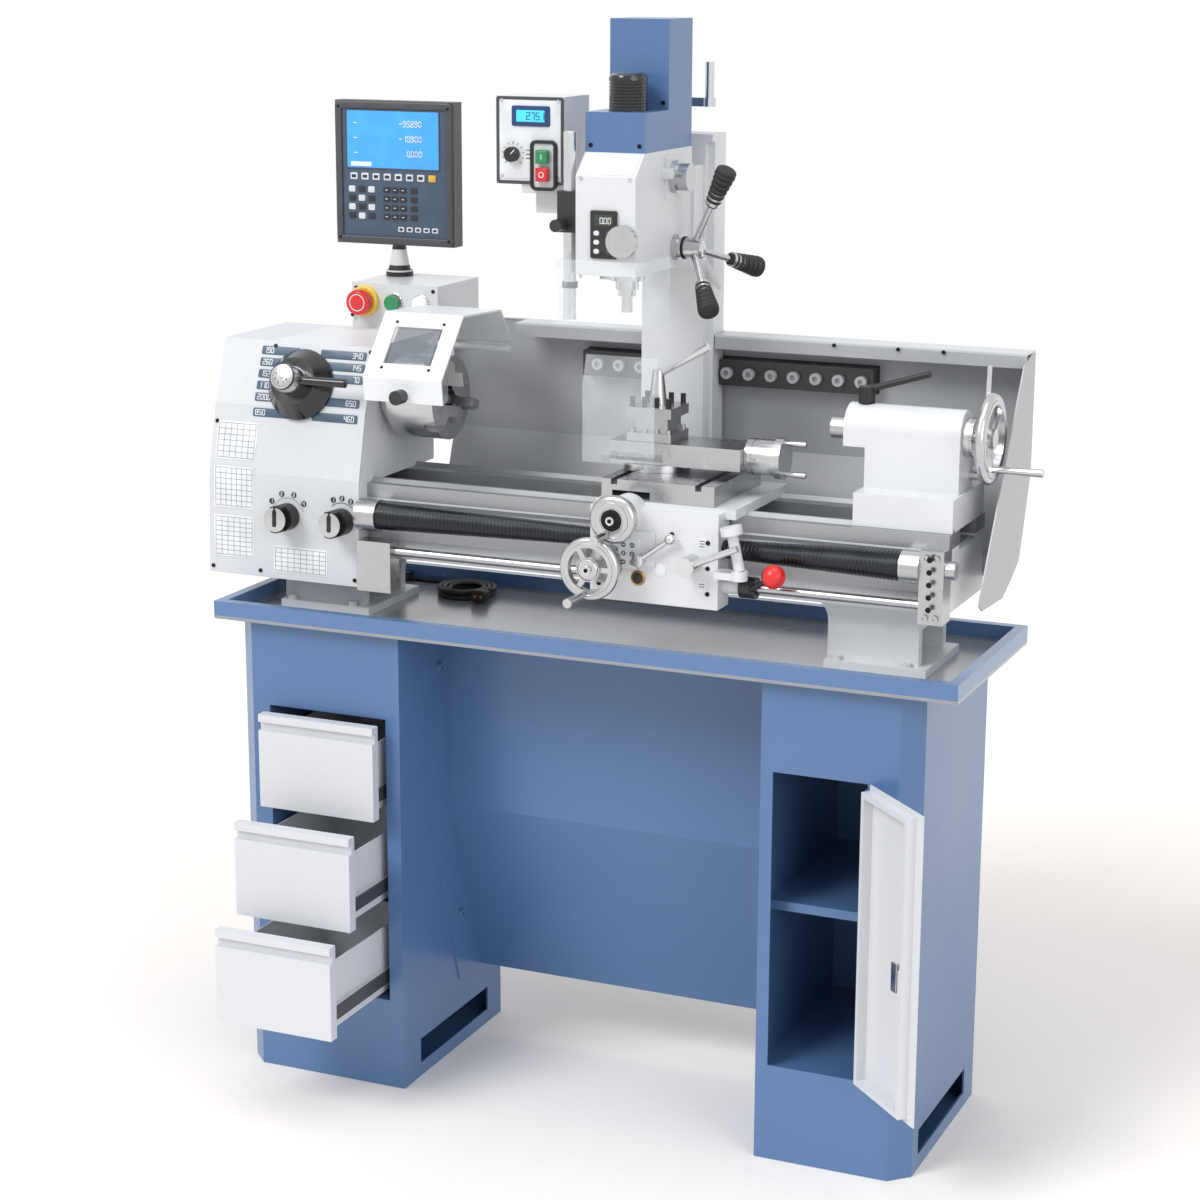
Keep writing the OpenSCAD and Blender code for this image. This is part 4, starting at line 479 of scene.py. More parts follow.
def plastic_group():
    """Moulded plastic: spark-eroded grain, and a faint dusty tone on it."""
    group, given, end = new_group("Moulded plastic", 0.45, [("Grain", "NodeSocketFloat", 900.0)])
    grain = node(group, "ShaderNodeTexVoronoi", {"Vector": given["Vector"], "Scale": given["Grain"]})
    dust = noise(group, given["Vector"], 30.0, 5.0)
    factor = spread(group, dust, (0.35, 0.75), (0.92, 1.14))
    shift = spread(group, dust, (0.35, 0.75), (-0.05, 0.1))
    return close_group(group, given, end, factor, shift, grain.outputs["Distance"])


GROUP_MAKERS = {"Sprayed paint": paint_group, "Machined metal": metal_group, "Moulded plastic": plastic_group}


def shared_group(name):
    """Node group by name, made the first time."""
    return bpy.data.node_groups.get(name) or GROUP_MAKERS[name]()


def material(name, group, values, metallic=0.0, coat=0.0, bump=0.05, depth=0.0004, **constants):
    """Principled material whose tone, roughness and bump come from a shared group over Object coordinates."""
    made = bpy.data.materials.new(name)
    made.use_nodes = True
    tree = made.node_tree
    shader = tree.nodes["Principled BSDF"]
    place = node(tree, "ShaderNodeTexCoord")
    effect = node(tree, "ShaderNodeGroup", node_tree=shared_group(group))
    tree.links.new(place.outputs["Object"], effect.inputs["Vector"])
    for socket, value in values.items():
        effect.inputs[socket].default_value = value
    tree.links.new(effect.outputs["Base Color"], shader.inputs["Base Color"])
    tree.links.new(effect.outputs["Roughness"], shader.inputs["Roughness"])
    raised = node(tree, "ShaderNodeBump",
        {"Strength": bump, "Distance": depth, "Height": effect.outputs["Height"]})
    tree.links.new(raised.outputs["Normal"], shader.inputs["Normal"])
    shader.inputs["Metallic"].default_value = metallic
    shader.inputs["Coat Weight"].default_value = coat
    for socket, value in constants.items():
        shader.inputs[socket.replace("_", " ")].default_value = value
    return made


def zone(tree, low, high):
    """Mask that is one inside a box given in millimetres of Object coordinates."""
    place = node(tree, "ShaderNodeTexCoord")
    split = node(tree, "ShaderNodeSeparateXYZ", {0: place.outputs["Object"]})
    mask = None
    for axis in range(3):
        for bound, kind in ((low[axis], "GREATER_THAN"), (high[axis], "LESS_THAN")):
            if bound is None:
                continue
            test = calc(tree, kind, split.outputs[axis], bound / 1000)
            mask = test if mask is None else calc(tree, "MULTIPLY", mask, test)
    return mask


def inlay(base, colour, low, high, metallic=None):
    """Second paint on a material inside a box, mixed over the base colour."""
    tree = base.node_tree
    shader = tree.nodes["Principled BSDF"]
    mask = zone(tree, low, high)
    under = shader.inputs["Base Color"].links[0].from_socket
    mix = node(tree, "ShaderNodeMix", data_type="RGBA")
    tree.links.new(mask, mix.inputs[0])
    tree.links.new(under, mix.inputs[6])
    mix.inputs[7].default_value = colour
    tree.links.new(mix.outputs[2], shader.inputs["Base Color"])
    if metallic is not None:
        before = shader.inputs["Metallic"].default_value
        level = node(tree, "ShaderNodeMapRange", {"Value": mask, "To Min": before, "To Max": metallic})
        tree.links.new(level.outputs[0], shader.inputs["Metallic"])
    return base


def paint(name, colour, roughness=0.36, peel=320.0, drift=0.08, coat=0.25, bump=0.05, **more):
    """Sprayed and stoved paint."""
    return material(name, "Sprayed paint",
        {"Colour": colour, "Roughness": roughness, "Peel": peel, "Drift": drift},
                    coat=coat, bump=bump, Coat_Roughness=0.2, **more)


def metal(name, colour, roughness=0.28, lines=(60.0, 900.0, 900.0), depth=0.18, bump=0.04, **more):
    """Ground or turned metal with its lines along one direction."""
    return material(name, "Machined metal",
        {"Colour": colour, "Roughness": roughness, "Lines": lines, "Depth": depth},
                    metallic=1.0, bump=bump, **more)


def plastic(name, colour, roughness=0.42, grain=1400.0, bump=0.05, **more):
    """Moulded plastic."""
    return material(name, "Moulded plastic", {"Colour": colour, "Roughness": roughness, "Grain": grain},
        bump=bump, **more)


def lit(name, colour, strength):
    """Backlit display face."""
    return plastic(name, colour, 0.25, 2500.0, 0.01, Emission_Color=colour, Emission_Strength=strength)


def clear(name, colour, alpha):
    """Clear polycarbonate sheet: mostly see-through, with a soft gloss."""
    made = plastic(name, colour, 0.08, 500.0, 0.01, Alpha=alpha, Specular_IOR_Level=0.6)
    made.surface_render_method = "BLENDED"
    return made


OPEN = (None, None, None)
DARK_SLIDE = "3A3C40"
SLIDE_INNER_X = (-503.9, -323.1)
DRAWER_BACKS = {"drawer_1": -192, "drawer_2": -272, "drawer_3": -337}
METALS = {
    "turned": ("C4C5C7", 0.22, (500.0, 500.0, 500.0), 0.1),
    "chrome": ("D5D6D8", 0.13, (300.0, 300.0, 300.0), 0.05),
    "dark_steel": ("55585C", 0.36, (300.0, 300.0, 300.0), 0.25),
    "black_oxide": ("2C2D30", 0.38, (400.0, 400.0, 400.0), 0.3),
    "spring": (DARK_SLIDE, 0.3, (200.0, 900.0, 900.0), 0.4),
    "brass": ("B08D45", 0.25, (400.0, 400.0, 400.0), 0.15)}
PLASTICS = {
    "bezel": ("45464B", 0.42, 1400.0), "membrane": ("435468", 0.4, 1800.0), "key_pale": ("D5D9DE", 0.4,
        1800.0),
    "key_dark": ("23262B", 0.4, 1800.0), "key_yellow": ("E0B63A", 0.4, 1800.0), "slate": ("465A6E", 0.4,
        1600.0),
    "plate_pale": ("DFE2E4", 0.38, 1600.0), "plate_line": ("6B7075", 0.4, 1600.0),
    "white_mark": ("EFF1F2", 0.4, 1800.0), "black_mark": ("1B1C1E", 0.45, 1800.0),
    "yellow": ("E8C21E", 0.35, 1800.0), "lcd_frame": ("213C70", 0.3, 1800.0), "rubber": ("1B1C1D", 0.6, 700.0,
        0.1)}


def drawer_look(name, colour, behind):
    """Drawer paint, with dark slides on both sides behind the front."""
    base = paint(name, colour, 0.42, 420.0, 0.05, 0.15, 0.09)
    inlay(base, linear(DARK_SLIDE), (SLIDE_INNER_X[1], behind, None), OPEN)
    return inlay(base, linear(DARK_SLIDE), (None, behind, None), (SLIDE_INNER_X[0], None, None))


def finish(name):
    """Material by name, made the first time from the user's colours."""
    known = bpy.data.materials.get(name)
    if known:
        return known
    if name in METALS:
        code, *rest = METALS[name]
        return metal(name, linear(code), *rest)
    if name in PLASTICS:
        code, *rest = PLASTICS[name]
        return plastic(name, linear(code), *rest)
    colours = bpy.context.scene.lathe_mill_colours
    if name in DRAWER_BACKS:
        return drawer_look(name, tuple(colours.drawer), DRAWER_BACKS[name])
    blue, casting, sheet = tuple(colours.blue), tuple(colours.casting), tuple(colours.sheet)
    steel, black, red = tuple(colours.steel), tuple(colours.plastic), tuple(colours.red)
    tray_blue = tuple(c * 1.06 for c in blue[:3]) + (1.0,)
    makers = {
        "stand_enamel": lambda: paint(name, blue, 0.33, 300.0, 0.07, 0.3),
        "casting": lambda: paint(name, casting, 0.4, 150.0, 0.09, 0.2, 0.12),
        "box_paint": lambda: paint(name, linear("D6D8DA"), 0.34, 300.0, 0.05, 0.3, 0.09),
        "door_paint": lambda: paint(name, linear("D2D4D8"), 0.4, 380.0, 0.05, 0.15),
        "cover_sheet": lambda: paint(name, linear("CBCED2"), 0.38, 340.0, 0.06, 0.25),
        "bed": lambda: inlay(
            paint(name, casting, 0.4, 140.0, 0.09, 0.2, 0.12), linear("A5A7AA"), (None, None,
                938), OPEN, 0.85),
        # Painted reflection: the tray's floor below z 749 is painted grey-blue in place of the pale bed's
        # reflection in its glossy blue enamel.
        "tray": lambda: inlay(paint(name, tray_blue, 0.26, 260.0, 0.07, 0.5), linear("8B9097"), OPEN,
            (None, None, 749)),
        # Painted shade: the splash guard is painted a darker grey all over in place of the shade on its inner
        # face. The sheet paint shows only on the top lip above z 1187, and the tool rail's zone is dark.
        "back_sheet": lambda: inlay(
            inlay(paint(name, linear("A9ABAF"), 0.4, 340.0, 0.07, 0.2), sheet, (None, None, 1187), OPEN),
            linear("232427"), (-124, 151.9, 1108), (357, 180, 1152)),
        "guard_white": lambda: inlay(
            paint(name, linear("E3E6E9"), 0.34, 340.0, 0.05, 0.3), linear("1C1D20"), OPEN, (None, -128.6,
                1122)),
        "rod_knob": lambda: inlay(
            paint(name, linear("1C1D20"), 0.35, 300.0, 0.05, 0.2), red, (299, None, None), OPEN),
        "head_casting": lambda: inlay(
            paint(name, casting, 0.4, 150.0, 0.09, 0.2, 0.12), linear("232427"), (None, None, 1363), (-5.2,
                None, 1424)),
        "post_steel": lambda: inlay(
            metal(name, steel, 0.3, (900.0, 900.0, 60.0)), linear("26272A"), (None, None, 1100.4), OPEN, 0.3),
        "ground_x": lambda: metal(name, steel, 0.27),
        "ground_y": lambda: metal(name, steel, 0.27, (900.0, 60.0, 900.0)),
        "black": lambda: plastic(name, black),
        "black_gloss": lambda: plastic(name, linear("101113"), 0.16, 2500.0, 0.01, coat=0.4),
        "red": lambda: plastic(name, red, 0.22, 2500.0, 0.02, coat=0.4),
        "green": lambda: plastic(name, tuple(colours.green), 0.24, 2500.0, 0.02, coat=0.4),
        "lamp": lambda: lit(name, linear("E6F1EE"), 0.35),
        "screen": lambda: lit(name, tuple(colours.screen), 0.5),
        "screen_dim": lambda: lit(name, linear("2E3B2C"), 0.15),
        "screen_cyan": lambda: lit(name, linear("43C0E0"), 0.5),
        "smoked": lambda: clear(name, linear("7E858C"), 0.55),
        "clear_sheet": lambda: clear(name, linear("EEF4F6"), 0.16),
    }
    return makers[name]()


LOOK_OF_NODES = {
    "stand_enamel": "left_cabinet right_cabinet centre_panel mill_cover",
    "tray": "chip_tray",
    "bed": "bed",
    "casting": "headstock mill_column carriage tailstock",
    "cover_sheet": "headstock_cover",
    "box_paint": "control_box mill_box",
    "back_sheet": "splash_guard",
    "ground_x": "feed_rods top_slide tailstock_quill",
    "drawer_1": "drawer_top",
    "drawer_2": "drawer_middle",
    "drawer_3": "drawer_bottom",
    "door_paint": "cabinet_door",
    "chrome": "door_latch toolpost_handle half_nut_lever feed_lever bed_clamp_lever column_crank",
    "turned": (
        "lathe_spindle carriage_handwheel cross_handwheel compound_base top_handwheel tail_handwheel "
        "mill_quill mill_spindle capstan range_knob fine_feed_knob"),
    "dark_steel": "chuck_jaw_1 chuck_jaw_2 chuck_jaw_3",
    "guard_white": "chuck_guard",
    "black_gloss": "speed_dial",
    "black": "feed_selector_left feed_selector_right quill_lever mill_speed_knob",
    "red": "stop_button mill_stop_button",
    "green": "start_button mill_start_button",
    "bezel": "dro_display",
    "ground_y": "cross_slide",
    "clear_sheet": "toolpost_shield mill_guard",
    "post_steel": "toolpost",
    "rod_knob": "rod_lever",
    "head_casting": "mill_head",
    "rubber": "cable_coil",
    "spring": "screw_covers",
}


# Routes

def lead_route():
    """Points of the lead: straight from its grip, then spiralling in, up a layer and out again."""
    left = LEAD_LEFT + np.arange(5) * (COIL_CENTRE[0] - LEAD_LEFT) / 5
    straight = np.column_stack([left, np.full(5, COIL_CENTRE[1] + COIL_R), np.full(5, LEAD_Z)])
    turn = np.arange(int(24 * COIL_TURNS) + 1) / 24
    inward = np.minimum(turn, COIL_TURNS - turn)
    climb = np.clip((turn - COIL_TURNS / 2 + 0.25) * 2, 0, 1)
    angle = np.radians(90 - 360 * turn)
    reach = COIL_R - COIL_PITCH * inward
    coil = np.column_stack([
        COIL_CENTRE[0] + reach * np.cos(angle), COIL_CENTRE[1] + reach * np.sin(angle),
        LEAD_Z + climb * COIL_PITCH])
    return np.vstack([straight, coil, coil[-1:] - (0, 7.0, 0)])


def cover_surface(start, end, pitch):
    """Spiral spring cover: distance along x and angle around it, tapering, with a saw-tooth for each turn."""
    length = abs(end - start)
    turns = int(length / pitch)
    rows = turns * 6
    along = np.linspace(0, 1, rows)
    angle = np.linspace(0, 2 * math.pi, 40, endpoint=False)
    a, t = np.meshgrid(along, angle, indexing="ij")
    taper = 22.0 - 8.0 * a
    tooth = np.mod(a * turns - t / (2 * math.pi), 1.0)
    radius = taper - 1.1 * tooth
    radius[0], radius[-1] = 21.0, 13.0
    x = start + (end - start) * a
    verts = np.stack([x, SCREW_AXIS[0] + radius * np.cos(t), SCREW_AXIS[1] + radius * np.sin(t)], axis=2)
    return closed_grid(verts, (start, *SCREW_AXIS), (end, *SCREW_AXIS))


HERE = np.eye(4)


class PieceOperator:
    """Shared settings of the operators that make the pieces."""
    bl_options = {"REGISTER", "UNDO"}

    @classmethod
    def poll(cls, context):
        return context.scene is not None


class LATHEMILL_OT_stage(PieceOperator, bpy.types.Operator):
    """Camera at the photograph's angle, soft light, pale floor and plain background"""
    bl_idname = "lathe_mill.stage"
    bl_label = "Stage"

    def execute(self, context):
        scene = context.scene
        scene.view_settings.view_transform = "Standard"
        azimuth, elevation, roll = (math.radians(a) for a in (23.655387, 13.742382, 0.180254))
        back = Vector((math.sin(azimuth) * math.cos(elevation), -math.cos(azimuth) * math.cos(elevation),
            math.sin(elevation)))
        right = (-back).cross(Vector((0, 0, 1))).normalized()
        up = right.cross(-back)
        turned = right * math.cos(roll) + up * math.sin(roll)
        tipped = up * math.cos(roll) - right * math.sin(roll)
        lens = bpy.data.cameras.new("photo_camera")
        lens.lens = 79.475
        lens.sensor_width = 36.0
        camera = bpy.data.objects.new("photo_camera", lens)
        place = Matrix.Identity(4)
        for column, axis in enumerate((turned, tipped, back)):
            for row in range(3):
                place[row][column] = axis[row]
        place.translation = Vector((1.563, -3.626, 1.757))
        camera.matrix_world = place
        scene.collection.objects.link(camera)
        scene.camera = camera
        for name, where, power, spread in (
                ("key", (-1.7, -3.0, 3.1), 1.75, 26.0), ("fill", (3.2, -2.0, 1.5), 0.75, 40.0), ("top",
                    (0.3, -0.4, 4.0), 0.9, 50.0)):
            light = bpy.data.lights.new(name, "SUN")
            light.energy = power
            light.angle = math.radians(spread)
            lamp = bpy.data.objects.new(name, light)
            lamp.location = where
            lamp.rotation_euler = (-Vector(where)).to_track_quat("-Z", "Y").to_euler()
            scene.collection.objects.link(lamp)
        world = bpy.data.worlds.new("studio")
        scene.world = world
        world.use_nodes = True
        tree = world.node_tree
        tree.nodes.clear()
        path = node(tree, "ShaderNodeLightPath")
        seen = calc(tree, "MAXIMUM", path.outputs["Is Camera Ray"], path.outputs["Is Glossy Ray"])
        seen = calc(tree, "MAXIMUM", seen, path.outputs["Is Transmission Ray"])
        ambient = node(tree, "ShaderNodeBackground", {"Color": (0.93, 0.95, 1.0, 1.0), "Strength": 0.52})
        plain = node(tree, "ShaderNodeBackground", {"Color": (1.0, 1.0, 1.0, 1.0), "Strength": 1.0})
        mix = node(tree, "ShaderNodeMixShader", {0: seen, 1: ambient.outputs[0], 2: plain.outputs[0]})
        node(tree, "ShaderNodeOutputWorld", {0: mix.outputs[0]})
        side = np.linspace(-7.0, 7.0, 29)
        x, y = np.meshgrid(side, side, indexing="ij")
        verts = np.column_stack([x.ravel(), y.ravel(), np.full(x.size, -0.0005)])
        i, j = np.meshgrid(np.arange(28), np.arange(28), indexing="ij")
        a = (i * 29 + j).ravel()
        mesh = bpy.data.meshes.new("floor")
        mesh.from_pydata(verts.tolist(), [], np.column_stack([a, a + 29, a + 30, a + 1]).tolist())
        mesh.materials.append(paint("floor_paint", linear("F6F1EC"), 0.7, 90.0, 0.02, 0.0, 0.03))
        floor = bpy.data.objects.new("floor", mesh)
        scene.collection.objects.link(floor)
        return {"FINISHED"}


class LATHEMILL_OT_finishes(PieceOperator, bpy.types.Operator):
    """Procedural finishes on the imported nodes"""
    bl_idname = "lathe_mill.finishes"
    bl_label = "Finishes"

    def execute(self, context):
        for look, names in LOOK_OF_NODES.items():
            for name in names.split():
                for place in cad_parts[name].material_slots:
                    place.material = finish(look)
        return {"FINISHED"}


class LATHEMILL_OT_lead(PieceOperator, bpy.types.Operator):
    """Mains lead coiled in the tray, with its plug and cord grip"""
    bl_idname = "lathe_mill.lead"
    bl_label = "Mains lead"

    def execute(self, context):
        sizes = context.scene.lathe_mill_sizes
        route = lead_route()
        lead = piece("mains_lead", [(tube(route, sizes.lead * 500, 16), HERE, "rubber")], "machine")
        end = route[-1]
        body = [
            moved(slab(24, 20, 14, 6, 2.5), 0, 0, -46),
            moved(slab(17, 15, 10, 6, 2), 0, 0, -33),
            moved(slab(13, 12, 11, 5.5, 1.5), 0, 0, -25)]
        sleeve = revolved([(0, -17)] + [(6.2 - 0.2 * i + (0.5 if i % 2 else -0.4),
            -17 + i) for i in range(17)] + [(0, -0.6)], 24)
        toward = facing(end, (1, 0, 0), (0, 0, -1))
        plug = piece("lead_plug", [(part, toward, "rubber") for part in body] + [(sleeve, toward,
            "rubber")] + [
            (moved(revolved(((0, -46), (2.2, -46), (2.2, -44.6), (0, -44.6)), 16), u, 0, -0.4), toward,
                "brass")
            for u in (-5, 5)], "machine")
        grip_place = facing((LEAD_LEFT - 14, COIL_CENTRE[1] + COIL_R, LEAD_Z + 4), (0, 1, 0), (0, 0, 1))
        grip = piece("lead_grip", [
            (slab(18, 15, 9, 2.5, 1), grip_place, "black"),
            (moved(revolved([(0, 0), (6.5, 0)] + [(6.5 - 0.16 * i + (0.5 if i % 2 else -0.3),
                0.4 + 0.8 * i) for i in range(5)] + [(0, 4.4)], 24),
                   0, -4, 9), grip_place, "rubber")], "machine")
        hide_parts("cable_coil")
        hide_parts("cable_coil")
        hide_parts("cable_coil")
        return {"FINISHED"}


class LATHEMILL_OT_screw_covers(PieceOperator, bpy.types.Operator):
    """Wound spring covers on the leadscrew, either side of the carriage"""
    bl_idname = "lathe_mill.screw_covers"
    bl_label = "Screw covers"

    def execute(self, context):
        pitch = context.scene.lathe_mill_sizes.cover_turn * 1000
        for name, fixed, sliding in (("screw_cover_left", -343.0, 19.5), ("screw_cover_right", 491.0, 222.5)):
            cover = piece(name, [(cover_surface(fixed, sliding, pitch), HERE, "spring")], None)
            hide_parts("screw_covers")
            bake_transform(cover)
        return {"FINISHED"}


class LATHEMILL_OT_display(PieceOperator, bpy.types.Operator):
    """Digital display with its bezel, screen, numerals and keys"""
    bl_idname = "lathe_mill.display"
    bl_label = "Digital display"

    def execute(self, context):
        face = on_front(DISPLAY_X, DISPLAY_FRONT, DISPLAY_Z)
        parts = [
            (frame_slab(214, 230, 12, 4.5, 7, 2.2), face, "bezel"),
            (slab(192, 208, 1.2, 4, 0.4), face, "membrane"),
            (moved(slab(168, 92, 1.8, 2, 0.4), -2, 54), face, "screen"),
            (moved(frame_slab(172, 96, 2.0, 1.4, 3, 0.5), -2, 54, 1.0), face, "bezel")]
        for row, text in enumerate(("-95.890", "-10.900", "0.000")):
            wide = len(text.replace(".", ""))
            put(parts, face, "white_mark", digits(text, 9, 1.2), 52 - wide * 3.5, 80 - row * 24, 1.9)
            put(parts, face, "white_mark", strip(7, 1.2, 0.3), -70, 80 - row * 24, 1.9)
        put(parts, face, "white_mark", slab(38, 7, 0.4, 1, 0.1), -60, 14, 1.8)
        for i in range(8):
            colour = "key_yellow" if i == 7 else "key_pale"
            put(parts, face, colour, slab(13, 11, 1.2, 1.5, 0.4), -74 + i * 20.5, -6, 1.2)
            put(parts, face, "key_dark" if i < 7 else "key_yellow", slab(8, 5, 0.3, 1, 0.1), -74 + i * 20.5,
                -6, 2.4)
        for row in range(4):
            for column in range(3):
                put(parts, face, "key_dark", slab(12, 10, 1.3, 2, 0.4), -14 + column * 15, -27 - row * 14.5,
                    1.2)
                put(parts, face, "white_mark", strip(4, 1.1, 0.2), -14 + column * 15, -27 - row * 14.5, 2.5)
            for column, u in enumerate((-78, -60, -42)):
                look = "key_pale" if (row + column) % 2 == 0 else "key_dark"
                put(parts, face, look, slab(12, 10, 1.3, 2, 0.4), u, -27 - row * 14.5, 1.2)
            put(parts, face, "key_dark", slab(12, 10, 1.3, 2, 0.4), 36, -27 - row * 14.5, 1.2)
        for column in range(5):
            put(parts, face, "key_pale", slab(11, 8, 1.3, 1.5, 0.4), 12 + column * 15.5, -90, 1.2)
            put(parts, face, "key_dark", slab(6, 4, 0.3, 1, 0.1), 12 + column * 15.5, -90, 2.5)
        for u in (-100, 100):
            for v in (-106, 106):
                put(parts, face, "black_oxide", screw(2.4, 0.8), u, v, 4.4)
        back = facing((DISPLAY_X, DISPLAY_BACK, DISPLAY_Z), (-1, 0, 0), (0, 0, 1))
        put(parts, back, "bezel", frame_slab(200, 216, 16, 1.6, 6, 1))
        for row in range(7):
            put(parts, back, "black", slab(90, 3, 1.0, 1.5, 0.4), 0, 20 + row * 9)
        for i in range(4):
            put(parts, back, "black_oxide", slab(16, 12, 2.2, 2, 0.6), -48 + i * 32, -74)
        piece("display_face", parts, "dro_display")
        return {"FINISHED"}


class LATHEMILL_OT_headstock_plates(PieceOperator, bpy.types.Operator):
    """Number bars, selector scales, bare tables and screws on the headstock"""
    bl_idname = "lathe_mill.headstock_plates"
    bl_label = "Headstock plates"

    def execute(self, context):
        thick = context.scene.lathe_mill_sizes.label * 1000
        parts = []
        rows = (1151, 1133.5, 1116, 1098.5, 1081, 1058)
        for z, left, right in zip(rows, ("190", "260", "153", "1100", "2000", "850"),
            ("340", "145", "70", None, "650", "460")):
            place = on_cover(-541, z)
            put(parts, place, "slate", slab(68, 13.5, thick, 2.5, 0.2))
            put(parts, place, "white_mark", digits(left, 8, 1.1), -32 + 3.1 * len(left) + 1.5, 0, thick)
            if right:
                place = on_cover(-430, z)
                put(parts, place, "slate", slab(80, 13.5, thick, 2.5, 0.2))
                put(parts, place, "white_mark", digits(right, 8, 1.1), 36 - 3.1 * len(right) - 1.5, 0, thick)
        for (_, x), turn, count in zip(SELECTORS, (35, 25), (4, 3)):
            place = on_cover(x, SELECTOR_Z)
            for i in range(count):
                angle = 90 + turn * ((count - 1) / 2 - i)
                u, v = polar(36, angle)
                put(parts, place, "black_mark", disc(4.6, thick), u, v)
                put(parts, place, "white_mark", digits(str(i + 1), 5, 0.8), u, v, thick)
            for i in range(25):
                angle = 90 - turn * count / 2 + i * turn * count / 24
                put(parts, place, "black_mark", strip(2.5, 0.7, 0.3), *polar(29, angle), 0, angle)
        for x, z, width, height, columns, lines in (
                (-600, 1012, 72, 60, 6, 6), (-600, 940, 72, 66, 7, 7), (-600, 862, 72, 66, 6, 8), (-480, 833,
                    96, 42, 8, 5)):
            place = on_cover(x, z)
            put(parts, place, "plate_pale", slab(width, height, thick, 1.5, 0.2))
            for i in range(columns + 1):
                u = -width / 2 + 3 + i * (width - 6) / columns
                put(parts, place, "plate_line", strip(height - 6, 0.7, 0.15), u, 0, thick, 90)
            for i in range(lines + 1):
                v = -height / 2 + 3 + i * (height - 6) / lines
                put(parts, place, "plate_line", strip(width - 6, 0.7, 0.15), 0, v, thick)
        for x, z in ((-552, 1158), (-384, 1158), (-552, 812), (-384, 812), (-638, 812), (-638, 1040)):
            put(parts, on_cover(x, z), "black_oxide", screw(3.2, 1.8))
        piece("headstock_plates", parts, "machine")
        return {"FINISHED"}


class LATHEMILL_OT_dial_marks(PieceOperator, bpy.types.Operator):
    """Pointers and number rings of the speed dial and the two selectors"""
    bl_idname = "lathe_mill.dial_marks"
    bl_label = "Dial marks"

    def execute(self, context):
        face = on_cover(*SPEED_DIAL)
        parts = [(moved(revolved(((0, 0), (21.8, 0), (21.8, 30), (19.5, 33.6), (17.5, 34.4), (0, 34.4)), 48),
            0, 0, 30.4), face, "turned")]
        for i in range(24):
            put(parts, face, "black_mark", strip(3.0, 0.7, 0.25), *polar(15, i * 15), 64.8, i * 15)
        for i in range(8):
            put(parts, face, "black_mark", digits(str(i + 1), 3.4, 0.6), *polar(10.5, 22.5 + i * 45), 64.8)
        put(parts, face, "chrome", disc(4, 1.2), 0, 0, 64.6)
        put(parts, face, "black_gloss", revolved(((0, 4), (50, 4), (52, 5), (38, 17), (26, 29.5),
            (22.5, 30.5), (0, 30.5)), 64))
        piece("dial_marks", parts, "speed_dial")
        for body, x in SELECTORS:
            place = on_cover(x, SELECTOR_Z)
            level = place[1, 3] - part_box(body)[0][1] * 1000 - 0.4
            piece(body + "_pointer", [
                (moved(revolved(((0, 0), (19, 0), (19, 0.7), (18, 1.0), (0, 1.0)), 40), 0, 0, level), place,
                    "turned"),
                (moved(slab(7, 26, 1.0, 2, 0.3), 0, 2, level + 0.8), place, "black_mark"),
                (moved(strip(14, 3.5, 1.0), 0, 13, level + 0.8, 90), place, "black_mark")], body)
        return {"FINISHED"}


class LATHEMILL_OT_control_trim(PieceOperator, bpy.types.Operator):
    """Collars, caps and lamp of the operator's box"""
    bl_idname = "lathe_mill.control_trim"
    bl_label = "Control trim"

    def execute(self, context):
        parts = [
            (revolved(((0, 0), (25.2, 0), (25.2, 6.2), (24.2, 7.6), (22, 8.4), (0, 8.4)), 48),
                on_front(STOP_X, BOX_FRONT, BUTTON_Z), "yellow"),
            (ring(13.2, ((0, 0), (3.2, 0), (3.2, 1.8), (2.0, 3.0), (0, 3.0))),
                on_front(START_X, BOX_FRONT, BUTTON_Z), "chrome"),
            (revolved(((0, 0), (12.4, 0), (12.4, 8.2), (11.0, 10.6), (7.0, 12.0), (0, 12.4)), 40),
                on_front(LAMP_X, BOX_FRONT, BUTTON_Z), "lamp"),
            (ring(12.4, ((0, 0), (3.0, 0), (3.0, 2.4), (1.8, 3.6), (0, 3.6))),
                on_front(LAMP_X, BOX_FRONT, BUTTON_Z), "chrome")]
        for x in (-515, -376):
            for z in (1020, 1230):
                put(parts, on_front(x, BOX_FRONT, z), "black_oxide", screw(3, 1.6))
        stand = on_top(-495, 245, 1238)
        put(parts, stand, "black", revolved(((0, 0), (22.4, 0), (22.4, 7), (20, 10.3), (18.4, 10.6),
            (15, 24), (12, 40), (11.5, 48.4), (0, 48.4)), 48))
        piece("control_trim", parts, "machine")
        stop = on_front(STOP_X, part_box("stop_button")[0][1] * 1000, BUTTON_Z)
        piece("stop_cap", [
            (revolved(((0, -9), (20.2, -9), (20.6, -5), (19.8, -1.5), (16.5, 0.6), (9, 1.4), (0, 1.5)), 48),
                stop, "red"),
            (moved(ring(12.5, ((0, 0), (1.2, 0), (1.2, 0.3), (0, 0.3)), 40), 0, 0, 1.1), stop, "white_mark")],
            "stop_button")
        return {"FINISHED"}


